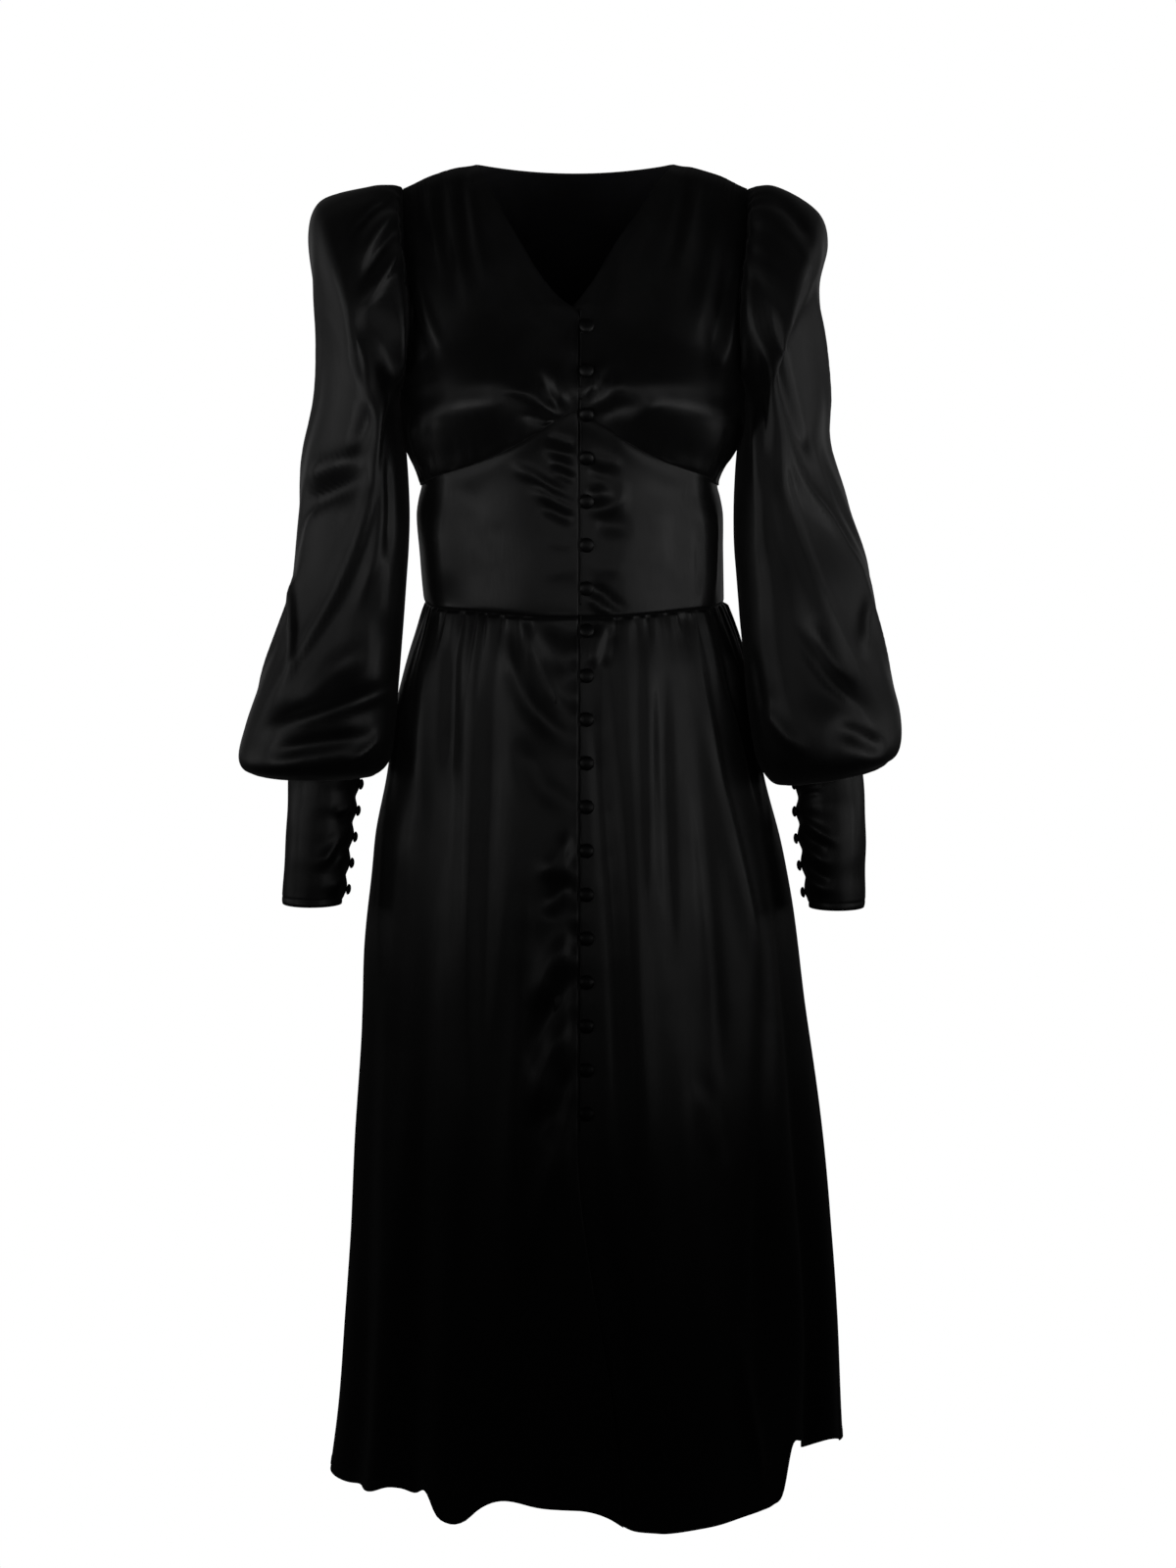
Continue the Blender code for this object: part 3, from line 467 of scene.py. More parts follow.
# %% [markdown]
# ## Reading the tables as a form
#
# Each table has a row only where the shape turns, and a smooth curve is read between its rows.
# The body of the dress could be modelled by hand from a cylinder instead, but then each gather,
# button and seam would have to be fitted to it by eye. A function that gives the point and the
# outward direction at any angle and level tells every later piece where the cloth is.

# %% Small maths
def read(rows, field, at):
    """A table's named column as a smooth curve, read at one or many places."""
    rows = sorted(rows)
    knots = np.array([row[0] for row in rows], float)
    values = np.array([getattr(row, field) for row in rows], float)
    slopes = np.gradient(values, knots)
    at = np.clip(at, knots[0], knots[-1])
    low = np.clip(np.searchsorted(knots, at) - 1, 0, len(knots) - 2)
    step = knots[low + 1] - knots[low]
    part = (at - knots[low]) / step
    rise = 3 * part**2 - 2 * part**3
    start = part * (1 - part) ** 2 * step * slopes[low]
    end = part**2 * (1 - part) * step * slopes[low + 1]
    return values[low] * (1 - rise) + values[low + 1] * rise + start - end


def ease(value, low, high):
    """0 below low, 1 above high, and a soft step between."""
    part = np.clip((value - low) / (high - low), 0, 1)
    return part * part * (3 - 2 * part)


def bump(value, middle, width):
    """1 at the middle, and a soft fall to 0 on both sides."""
    return np.exp(-(((value - middle) / width) ** 2))


def mix(first, second, share):
    """The first at share 0, the second at 1, and in between along a straight line."""
    return first * (1 - share) + second * share


def signed_power(value, power):
    """A power that keeps the value's sign."""
    return np.sign(value) * np.abs(value) ** power


def unit(vectors):
    """Vectors brought to a length of 1."""
    return vectors / np.linalg.norm(vectors, axis=-1, keepdims=True)


def wrapped(angle):
    """The same angle between -180 and 180 degrees."""
    return (angle + 180) % 360 - 180


def read_sides(rows, x, level):
    """A table's right or left column, by the side of the dress that x is on."""
    return np.where(x < 0, read(rows, "right", level), read(rows, "left", level))


# %% The form of the body of the dress
def half_width(x, level):
    """From the centre to the side of the dress, on the side that x is on."""
    return np.where(level > WAIST, read_sides(TORSO, x, level), read_sides(SKIRT, x, level))


def shoulder_height(x):
    """Height of the shoulder seam's line over any x, rounded across the neck."""
    reach = np.hypot(x, NECK_SOFTNESS) - (math.hypot(NECK_HALF, NECK_SOFTNESS) - NECK_HALF)
    slope = SHOULDER_DROP / (SHOULDER_HALF - NECK_HALF)
    return -slope * (np.minimum(reach, SHOULDER_HALF) - NECK_HALF)


def half_depth(x, level, facing):
    """How far the form reaches to the front (facing -1) or the back (+1)."""
    side = "front" if facing < 0 else "back"
    drop = np.maximum(shoulder_height(x) - level, 0)
    return np.where(level > WAIST, read(PROFILE, side, drop), read(SKIRT, side, level))


def turn_at(x, level):
    """The angle, from the centre line, at which the form's section passes x."""
    share = np.clip(x / half_width(x, level), -1, 1)
    return np.degrees(np.arcsin(signed_power(share, ROUND / 2)))


def skirt_fold(angle, level):
    """How far the hanging folds move the form outwards."""
    hem = read(HEM, "level", angle)
    total = np.zeros(np.broadcast(angle, level).shape)
    for fold in FOLDS:
        grown = np.clip((fold.start - level) / (fold.start - hem), 0, 1)
        centre = mix(fold.top_angle, fold.hem_angle, grown)
        total += fold.height * grown * bump(wrapped(angle - centre), 0, fold.width)
    return total


def form(turn, level, facing, lift=0.0):
    """(points, outward) of the form at an angle from the centre line, raised by lift."""
    turn = np.asarray(turn, float)
    level = np.asarray(level, float)
    sine = np.sin(np.radians(turn))
    cosine = np.abs(np.cos(np.radians(turn)))
    wide = half_width(sine, level)
    x = wide * signed_power(sine, 2 / ROUND)
    deep = half_depth(x, level, facing)
    y = facing * deep * cosine ** (2 / ROUND)
    if facing < 0:
        aside = (np.abs(x) - BUST_APART) / BUST_WIDE
        bust = np.exp(-(aside**2) - ((level - BUST_LEVEL) / BUST_TALL) ** 2)
        y = y - BUST_FULL * bust * cosine**0.5
    lean = np.radians(90) * np.clip((shoulder_height(x) - level) / LEAN_DROP, 0, 1) ** 0.5
    flat = unit(np.stack([x / wide**2, y / np.maximum(deep, SHALLOW) ** 2], -1))
    outward = np.stack(
        [flat[..., 0] * np.sin(lean), flat[..., 1] * np.sin(lean), np.cos(lean)], -1
    )
    angle = turn if facing < 0 else wrapped(180 - turn)
    raised = lift + skirt_fold(angle, level)
    points = np.stack([x, y, level], -1) + outward * np.asarray(raised)[..., None]
    return points, outward


print("half width at the waist:", float(half_width(1, WAIST)), "mm")

# %% [markdown]
# ## The edges of the cut pieces
#
# A dress is sewn from flat pieces, and its seams show where each one ends: the armholes, the side
# seams, the V of the neck, the peaked seam under the bust and the lapped front edge. A closed
# body could be cut up with planes, but that leaves ragged edges. Here each edge is a function,
# and two neighbours ask the same one, so their seam closes exactly.

# %% Edges of the cut pieces
def armhole(circle):
    """(turn, level) on the armhole's edge: circle 0 is its top and 180 the armpit."""
    rise = np.radians(np.minimum(180 - circle, 90))
    share = 1 - ARMHOLE_CUT * np.sin(rise) ** 2
    turn = np.degrees(np.arcsin(share ** (ROUND / 2)))
    middle = (ARMPIT - SHOULDER_DROP) / 2
    half = (-SHOULDER_DROP - ARMPIT) / 2
    return turn, middle + half * np.cos(np.radians(circle))


def outer_edge(along, bottom):
    """(turn, level) of a bodice piece's outer edge: side seam, then armhole."""
    climb = np.clip(along / SIDE_SEAM_TOP, 0, 1)
    circle = 180 * (1 - np.clip((along - SIDE_SEAM_TOP) / (1 - SIDE_SEAM_TOP), 0, 1))
    turn, level = armhole(circle)
    low = mix(bottom, ARMPIT, climb)
    at_seam = along < SIDE_SEAM_TOP
    return np.where(at_seam, 90.0, turn), np.where(at_seam, low, level)


def front_edge(level):
    """x of the right front's edge, which swings over below the last button."""
    last = FIRST_BUTTON - (BUTTON_COUNT - 1) * BUTTON_PITCH
    return FRONT_EDGE + HEM_SWING * ease(-level, SWING_START - last, -MEAN_HEM)


def underlap_step(x, level, side):
    """The left front lies deeper where the right front laps over it."""
    if side == "right":
        return 0.0
    edge = front_edge(level)
    deeper = UNDERLAP_STEP + UNDERLAP_HEM_STEP * ease(-level, -WAIST, -MEAN_HEM)
    return -deeper * (1 - ease(x, edge + UNDERLAP_FLAT, edge + UNDERLAP_FADE))


def inner_x(level, side):
    """x of a front piece's inner edge at any level."""
    straight = front_edge(level)
    if side == "left":
        straight = straight + UNDERLAP - FRONT_EDGE
    return np.where(level > NECK_EDGE[-1].level, read(NECK_EDGE, side, level), straight)


def past_placket(across, placket):
    """Share of the way from the placket's outer side to the outer edge."""
    return np.clip((across - placket) / (1 - placket), 0, 1)


def front_turn(across, level, side, placket, outer_turn=90.0):
    """Angle of a front's column: a flat placket of fixed width, then an even spread."""
    sign = SIGN[side]
    width = PLACKET_WIDTH * (1 - PLACKET_NARROWING * ease(level, PLACKET_LEVEL, 0))
    within = np.clip(across / placket, 0, 1)
    edge = turn_at(inner_x(level, side) + sign * width * within, level)
    return mix(edge, sign * outer_turn, past_placket(across, placket))


def bust_seam(turn, side):
    """Level of the under-bust seam at an angle, the same on both fronts at the centre."""
    return read(BUST_SEAM, "level", np.clip(SIGN[side] * turn, 0, 90))


print("top and bottom of the armhole:", [float(armhole(circle)[1]) for circle in (0.0, 180.0)])

# %% [markdown]
# ## A cut piece as a lattice
#
# Each cut piece is a grid that is bent to the worn form, like the threads of the cloth. The
# lattice keeps where each crossing lies, which way is outwards there, and how far it is from all
# four edges, because what cloth does depends most of all on its distance from a seam. The steps
# are closer at the edges, where the puckers are small, and that saves a great many faces.

# %% A cut piece as a lattice
Cloth = namedtuple("Cloth", "across along points outward start end low high")
Grid = namedtuple("Grid", "columns rows")
GRID = {
    "bodice_front": Grid(84, 116),
    "bodice_back": Grid(144, 126),
    "midriff": Grid(72, 72),
    "skirt_front": Grid(118, 216),
    "skirt_back": Grid(200, 216),
    "sleeve": Grid(132, 186),
    "cuff": Grid(96, 70),
}


def steps(count, close=0.75):
    """0 to 1 in that many steps, closer together at both ends."""
    even = np.linspace(0, 1, count + 1)
    return mix(even, even * even * (3 - 2 * even), close)


def lattice(across, along, shape):
    """The worn surface over the cut, and each point's distance in mm from the four edges."""
    wide, tall = np.meshgrid(across, along)
    points, outward = shape(wide.ravel(), tall.ravel())
    points = points.reshape(*wide.shape, 3)
    outward = outward.reshape(*wide.shape, 3)
    over = np.cumsum(np.linalg.norm(np.diff(points, axis=1), axis=-1), axis=1)
    over = np.pad(over, ((0, 0), (1, 0)))
    up = np.cumsum(np.linalg.norm(np.diff(points, axis=0), axis=-1), axis=0)
    up = np.pad(up, ((1, 0), (0, 0)))
    return Cloth(wide, tall, points, outward, over, over[:, -1:] - over, up, up[-1:] - up)


def off_edges(cloth, **reach):
    """0 at the named edges, and a soft rise to 1 over the mm that are given for each."""
    share = 1.0
    for edge, distance in reach.items():
        share = share * ease(getattr(cloth, edge), 0, distance)
    return share


print("quads:", {kind: grid.columns * grid.rows for kind, grid in GRID.items()})

# %% [markdown]
# ## Gathers
#
# Where satin is gathered into a seam, pinched valleys part rounded ridges, each with its own
# height and length. Finer puckers sit between them at the stitching, and they run out into a few
# broad folds. All this could be a bump in the material, but a bump neither hides nor shadows
# anything, so the surface itself is moved along its outward direction.

# %% Gathers along a seam
Gather = namedtuple("Gather", "count height run pinch broad")


def ridges(share, away, count, height, run, seed):
    """Rounded ridges between pinched valleys: the sines only keep neighbours from matching."""
    uneven = share + 0.014 * np.sin(17 * share + seed) + 0.009 * np.sin(31 * share + 2 * seed)
    phase = count * uneven
    cell = np.floor(phase)
    own_height = height * (1 + 0.5 * np.sin(12.9 * cell + seed))
    own_run = run * (1 + 0.55 * np.sin(7.3 * cell + 3 * seed))
    crest = own_height * np.abs(np.sin(math.pi * phase)) ** 0.8
    fade = np.exp(-((away / own_run) ** 1.4))
    return crest * fade - 0.6 * height * np.exp(-((away / run) ** 1.4))


def gathers(share, away, row, seed, start=0.05, end=0.05):
    """Fine puckers at the seam, the gathers themselves, and the broad folds they run into."""
    away = np.maximum(away, 0)
    window = ease(share, 0, start) * ease(1 - share, 0, end)
    fine = ridges(share, away, row.count * 2.3, row.height * 0.7, row.run * 0.45, seed + 1)
    main = ridges(share, away, row.count, row.height, row.run, seed)
    broad = ridges(share, away, row.count * 0.45, row.height * row.broad, row.run * 3, seed + 2)
    return window * (fine + main + broad * ease(away, 0, row.run)) * ease(away, 0, row.pinch)


def roll(away, deep=0.8, wide=1.5):
    """An edge that turns in to its seam."""
    return -deep * bump(away, 0, wide)


def blouse(away, most, reach):
    """Fullness that rolls over a seam."""
    above = np.maximum(away, 0) / reach
    return most * above * np.exp(1 - above)


PULL_UNEVEN = 0.5  # how much one button's pull differs from the next
PULL_WAVE = 37.0
PULL_STARTS = FIRST_BUTTON + 20  # above this level nothing is buttoned
PULL_FADES = FIRST_BUTTON - 620  # from here down, the pull fades to the last button


def pulled_placket(cloth, height, reach):
    """The front edge is held down at each button and stands off a little between them."""
    level = cloth.points[..., 2]
    phase = 2 * math.pi * (level - FIRST_BUTTON) / BUTTON_PITCH
    uneven = 1 + PULL_UNEVEN * np.sin(level / PULL_WAVE)
    buttoned = ease(level, FIRST_BUTTON - BUTTON_COUNT * BUTTON_PITCH, PULL_FADES)
    strength = -height * uneven * buttoned * (level < PULL_STARTS)
    return strength * np.cos(phase) * np.exp(-cloth.start / reach)


# %% [markdown]
# ## Creases given one by one
#
# Farther from the seams run the long folds that the eye remembers. A cloth simulation would give
# folds of its own choice, so each one is drawn here instead, as a line on a view from the front,
# the back or the side, with a height, a width, and a lean that makes one flank steeper. The line
# is laid on the cloth and lifts it to a ridge, or lowers it to a trough.

# %% Creases given one by one
Crease = namedtuple("Crease", "height width lean line")
View = namedtuple("View", "across depth sign")
FRONT = View(0, 1, -1)
BACK = View(0, 1, 1)
SIDE = {"right": View(1, 0, -1), "left": View(1, 0, 1)}
NEAREST = 6  # how many crossings of the lattice place one point of a line
FACING = (0.1, 0.45)  # a crease fades where the cloth turns away from its view
TAPER = (-0.02, 0.35)  # and over this share of its length at both ends
CREASE_REACH = 3.2  # widths from its line at which a crease ends


def smooth_line(corners, spacing=3.0):
    """A smooth curve through given points, as points a few mm apart."""
    corners = np.array(corners, float)
    ends = [2 * corners[0] - corners[1], *corners, 2 * corners[-1] - corners[-2]]
    ends = np.array(ends)
    made = []
    for a, b, c, d in zip(ends, ends[1:], ends[2:], ends[3:]):
        count = max(int(np.linalg.norm(c - b) / spacing), 2)
        part = np.linspace(0, 1, count, endpoint=False)[:, None]
        made.append(
            b
            + part * (c - a) / 2
            + part**2 * (a - 2.5 * b + 2 * c - d / 2)
            + part**3 * (-a + 3 * b - 3 * c + d) / 2
        )
    return np.concatenate([*made, corners[-1:]])


def laid_on(cloth, line, view):
    """(points, outward) of a line drawn on a front, back or side view of the cloth."""
    outward = cloth.outward.reshape(-1, 3)
    seen = np.flatnonzero(outward[:, view.depth] * view.sign > -0.1)
    points = cloth.points.reshape(-1, 3)[seen]
    apart = ((points[None, :, (view.across, 2)] - line[:, None]) ** 2).sum(-1)
    near = np.argpartition(apart, NEAREST, axis=1)[:, :NEAREST]
    weight = 1 / (np.take_along_axis(apart, near, 1) + 1)
    weight = weight / weight.sum(1, keepdims=True)
    way = (outward[seen][near] * weight[..., None]).sum(1)
    places = np.stack([line[:, 0], line[:, 0], line[:, 1]], -1)
    places[:, view.depth] = (points[near][..., view.depth] * weight).sum(1)
    return places, unit(way)


def crease_lift(cloth, crease, view):
    """The lift of one crease: a ridge if its height is positive, a trough if negative."""
    middle, way = laid_on(cloth, smooth_line(crease.line), view)
    points = cloth.points.reshape(-1, 3)
    tangent = unit(np.gradient(middle, axis=0) + 1e-9)
    aside = np.cross(tangent, way)
    reach = CREASE_REACH * crease.width * (1 + abs(crease.lean))
    near = ((points > middle.min(0) - reach) & (points < middle.max(0) + reach)).all(1)
    near = np.flatnonzero(near)
    apart = points[near][:, None] - middle[None]
    closest = (apart**2).sum(-1).argmin(1)
    apart = apart[np.arange(len(near)), closest]
    forward = (apart * tangent[closest]).sum(-1)
    side = (apart * aside[closest]).sum(-1)
    across = np.sqrt(np.maximum((apart**2).sum(-1) - forward**2, 0))
    length = np.concatenate([[0], np.cumsum(np.linalg.norm(np.diff(middle, axis=0), axis=1))])
    share = (length[closest] + forward) / length[-1]
    taper = ease(share, *TAPER) * ease(1 - share, *TAPER)
    width = crease.width * (1 + crease.lean * np.tanh(2 * side / crease.width))
    lift = np.zeros(len(points))
    lift[near] = crease.height * taper * bump(across, 0, width)
    facing_it = ease(cloth.outward.reshape(-1, 3)[:, view.depth] * view.sign, *FACING)
    return (lift * facing_it).reshape(cloth.across.shape)


def creases(cloth, rows, view=FRONT):
    """The lift of many creases together."""
    return sum((crease_lift(cloth, row, view) for row in rows), np.zeros(cloth.across.shape))


def mirrored(rows, side):
    """Creases that are written down for the left side, moved to either side."""
    return [row._replace(line=[(SIGN[side] * x, z) for x, z in row.line]) for row in rows]


# %% [markdown]
# ## Soft unevenness
#
# No stretch of worn cloth is quite even, and a mirror-smooth one looks like plastic. A few long
# waves that cross each other move it by about a millimetre. A noise texture could do it too, but
# plain sines are the same on every machine. They fade out towards nearly every seam, so that
# neighbours still meet.

# %% Soft unevenness
Wave = namedtuple("Wave", "x y z phase")
WAVES = rows_of(
    Wave,
    (1.0, 0.5, 0.3, 0.4),
    (-0.7, 0.8, 0.6, 2.1),
    (0.4, -1.2, 0.8, 4.0),
    (1.5, 0.2, -0.7, 1.2),
    (-0.3, 1.4, 1.1, 5.3),
    (0.8, -0.6, -1.3, 3.1),
)


def drift(points, sideways, upwards, seed=0.0):
    """Soft unevenness from about -1 to 1, with waves of these lengths in mm."""
    total = 0.0
    for number, wave in enumerate(WAVES):
        angle = (wave.x * points[..., 0] + wave.y * points[..., 1]) / sideways
        angle = angle + wave.z * points[..., 2] / upwards
        total = total + np.sin(2 * math.pi * angle + wave.phase + seed * (number + 1))
    return total / (len(WAVES) / 2)


print("waves:", len(WAVES))

# %% [markdown]
# ## Satin
#
# Satin floats its warp threads over the surface, so it is smooth and shines in soft patches,
# with fine streaks along the threads. Its reverse is dull. The streaks, the change of gloss and
# the shade are one node group, which each material uses with its own values, so that they needn't
# be built five times. On the cut pieces the group reads a UV map that holds the flat cut in
# metres, and so the threads follow the cloth into every gather.

# %% Weave group
def weave_group():
    """Streaks along the warp and fine threads, as a height, a roughness and a colour."""
    group = bpy.data.node_groups.new("satin_weave", "ShaderNodeTree")
    sockets = group.interface
    for name, kind in (
        ("Vector", "NodeSocketVector"),
        ("Streaks", "NodeSocketFloat"),
        ("Gloss", "NodeSocketFloat"),
        ("Matt", "NodeSocketFloat"),
        ("Dark", "NodeSocketColor"),
        ("Light", "NodeSocketColor"),
    ):
        sockets.new_socket(name, in_out="INPUT", socket_type=kind)
    sockets.new_socket("Height", in_out="OUTPUT", socket_type="NodeSocketFloat")
    sockets.new_socket("Roughness", in_out="OUTPUT", socket_type="NodeSocketFloat")
    sockets.new_socket("Colour", in_out="OUTPUT", socket_type="NodeSocketColor")
    given = group.nodes.new("NodeGroupInput").outputs
    result = group.nodes.new("NodeGroupOutput").inputs
    along = add_node(group, "Math", {0: given["Streaks"], 1: 0.04}, operation="MULTIPLY")
    scale = add_node(group, "CombineXYZ", {"X": given["Streaks"], "Y": along.outputs[0], "Z": 1.0})
    place = add_node(
        group, "VectorMath", {0: given["Vector"], 1: scale.outputs[0]}, operation="MULTIPLY"
    )
    streak = add_node(group, "TexNoise", {"Vector": place.outputs[0], "Scale": 1.0, "Detail": 3.0})
    cloud = add_node(group, "TexNoise", {"Vector": given["Vector"], "Scale": 28.0, "Detail": 2.0})
    thread = add_node(
        group, "TexWave", {"Vector": given["Vector"], "Scale": 700.0}, bands_direction="X"
    )
    tall = add_node(group, "Math", {0: streak.outputs[0], 1: 0.7}, operation="MULTIPLY")
    fine = add_node(group, "Math", {0: thread.outputs["Fac"], 1: 0.12}, operation="MULTIPLY")
    height = add_node(group, "Math", {0: tall.outputs[0], 1: fine.outputs[0]}, operation="ADD")
    both = add_node(group, "Math", {0: streak.outputs[0], 1: cloud.outputs[0]}, operation="ADD")
    part = add_node(group, "MapRange", {"Value": both.outputs[0], "From Min": 0.7, "From Max": 1.3})
    rough = add_node(
        group,
        "MapRange",
        {"Value": part.outputs[0], "To Min": given["Gloss"], "To Max": given["Matt"]},
    )
    colour = add_node(
        group,
        "Mix",
        {"Factor": part.outputs[0], 6: given["Dark"], 7: given["Light"]},
        data_type="RGBA",
    )
    group.links.new(height.outputs[0], result["Height"])
    group.links.new(rough.outputs[0], result["Roughness"])
    group.links.new(colour.outputs[2], result["Colour"])
    return group


weave = weave_group()

# %% Cloth materials
Finish = namedtuple("Finish", "dark light gloss matt streaks bump sheen coat")
SATIN = Finish(0.003, 0.005, 0.42, 0.54, 900.0, 0.00010, 0.20, 0.30)
REVERSE = Finish(0.035, 0.050, 0.60, 0.75, 900.0, 0.00015, 0.30, 0.0)
COVERED = Finish(0.003, 0.005, 0.36, 0.46, 1600.0, 0.00008, 0.02, 0.0)
LOOPING = Finish(0.004, 0.008, 0.45, 0.60, 2400.0, 0.00020, 0.15, 0.0)
THREAD = Finish(0.006, 0.014, 0.40, 0.55, 3000.0, 0.00015, 0.15, 0.0)


def cloth_material(name, finish, follows="UV"):
    """Satin or cord: the weave group feeds a shader whose fixed values are its own."""
    material = bpy.data.materials.new(name)
    material.use_nodes = True
    tree = material.node_tree
    shader = tree.nodes["Principled BSDF"]
    place = add_node(tree, "TexCoord").outputs[follows]
    threads = tree.nodes.new("ShaderNodeGroup")
    threads.node_tree = weave
    tree.links.new(place, threads.inputs["Vector"])
    threads.inputs["Streaks"].default_value = finish.streaks
    threads.inputs["Gloss"].default_value = finish.gloss
    threads.inputs["Matt"].default_value = finish.matt
    threads.inputs["Dark"].default_value = (finish.dark, finish.dark, finish.dark * 1.12, 1)
    threads.inputs["Light"].default_value = (finish.light, finish.light, finish.light * 1.12, 1)
    bump = add_node(
        tree,
        "Bump",
        {"Height": threads.outputs["Height"], "Distance": finish.bump, "Strength": 0.6},
    )
    tree.links.new(threads.outputs["Colour"], shader.inputs["Base Color"])
    tree.links.new(threads.outputs["Roughness"], shader.inputs["Roughness"])
    tree.links.new(bump.outputs[0], shader.inputs["Normal"])
    shader.inputs["IOR"].default_value = 1.5
    if follows == "UV":
        warp = add_node(tree, "Tangent", direction_type="UV_MAP", uv_map="cut")
        tree.links.new(warp.outputs[0], shader.inputs["Tangent"])
        shader.inputs["Anisotropic"].default_value = 0.55
    shader.inputs["Sheen Weight"].default_value = finish.sheen
    shader.inputs["Sheen Roughness"].default_value = 0.45
    shader.inputs["Coat Weight"].default_value = finish.coat
    shader.inputs["Coat Roughness"].default_value = 0.28
    return material


satin = cloth_material("satin_right_side", SATIN)
reverse = cloth_material("satin_reverse", REVERSE)
covered = cloth_material("button_satin", COVERED, "Object")
looping = cloth_material("looping_cord", LOOPING, "Object")
thread = cloth_material("sewing_thread", THREAD, "Object")
print("materials:", [m.name for m in (satin, reverse, covered, looping, thread)])

# %% [markdown]
# ## Sewing a piece
#
# A flat grid from a mesh operator is laid on the lattice, crossing by crossing, while its UV map
# keeps the flat cut. A Solidify modifier gives it thickness and the inside its dull reverse.
# Modelling both faces by hand would take twice the work and let them drift apart. The piece takes
# its solid's place in the frame.

# %% Sewing a piece
CLOTH_THICK = 0.8
SAME_PLACE = 0.00001  # metres: the two edges of a tube's seam become one
TINY = 1e-6  # the same, for small pieces
cloth_pieces = {}
Flat = namedtuple("Flat", "width length area held")
FLAT = {
    "bodice_front": Flat(0.24, 0.31, 0.049, "gathered"),
    "bodice_back": Flat(0.42, 0.40, 0.140, "stretched"),
    "midriff": Flat(0.18, 0.18, 0.0285, "stretched"),
    "skirt_front": Flat(0.38, 0.78, 0.255, "gathered"),
    "skirt_back": Flat(0.72, 0.78, 0.480, "gathered"),
    "sleeve": Flat(0.46, 0.60, 0.215, "gathered"),
    "cuff": Flat(0.19, 0.14, 0.0225, "gathered"),
}


def add_piece(name, bm, material):
    """A mesh made into an object that rides with the dress."""
    mesh = bpy.data.meshes.new(name)
    bm.to_mesh(mesh)
    bm.free()
    mesh.shade_smooth()
    mesh.materials.append(material)
    piece = bpy.data.objects.new(name, mesh)
    scene.collection.objects.link(piece)
    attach(piece, "root")
    return piece


def sew(node, kind, cloth, lift, tube=False):
    """Bends a flat grid to the worn shape, and gives it thickness, a right side and a reverse."""
    rows, columns = (number - 1 for number in cloth.across.shape)
    flat = FLAT[kind]
    bm = bmesh.new()
    cut = bm.loops.layers.uv.new("cut")
    bmesh.ops.create_grid(bm, x_segments=columns, y_segments=rows, size=0.5, calc_uvs=True)
    worn = (cloth.points + cloth.outward * lift[..., None]) * MM
    for vert in bm.verts:
        column = round((vert.co.x + 0.5) * columns)
        row = round((vert.co.y + 0.5) * rows)
        vert.co = worn[row, column]
        for loop in vert.link_loops:
            loop[cut].uv = (
                cloth.across[row, column] * flat.width,
                cloth.along[row, column] * flat.length,
            )
    if tube:
        bmesh.ops.remove_doubles(bm, verts=bm.verts[:], dist=SAME_PLACE)
    bm.normal_update()
    bm.faces.ensure_lookup_table()
    middle = bm.faces[len(bm.faces) // 2]
    corner = np.array(middle.calc_center_median())
    apart = (worn.reshape(-1, 3) - corner) ** 2
    outward = cloth.outward.reshape(-1, 3)[apart.sum(1).argmin()]
    if middle.normal.dot(Vector(outward)) < 0:
        bmesh.ops.reverse_faces(bm, faces=bm.faces[:])
    worn_area = sum(face.calc_area() for face in bm.faces)
    piece = add_piece(node + "_satin", bm, satin)
    piece.data.materials.append(reverse)
    wall = piece.modifiers.new("wall", "SOLIDIFY")
    wall.thickness = CLOTH_THICK * MM
    wall.offset = -1
    wall.use_even_offset = False
    wall.use_quality_normals = True
    wall.material_offset = 1
    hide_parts(node)
    cloth_pieces[node] = piece
    print(f"{node}: {rows * columns} quads, {worn_area:.4f} m2 worn, {flat.area} m2 cut")


# %% [markdown]
# ## Bodice fronts
#
# Each front is gathered at the shoulder and again under the bust, where the fullness rolls a
# little over the seam. A long drag line falls from each armhole, a soft ridge runs over the
# lowest part of the bust, and short creases fan out from the centre front, where the buttons
# hold the fullness back. Mirroring one front would be quicker, but the two sides differ on any
# worn dress, so one loop makes both from two tables of creases.

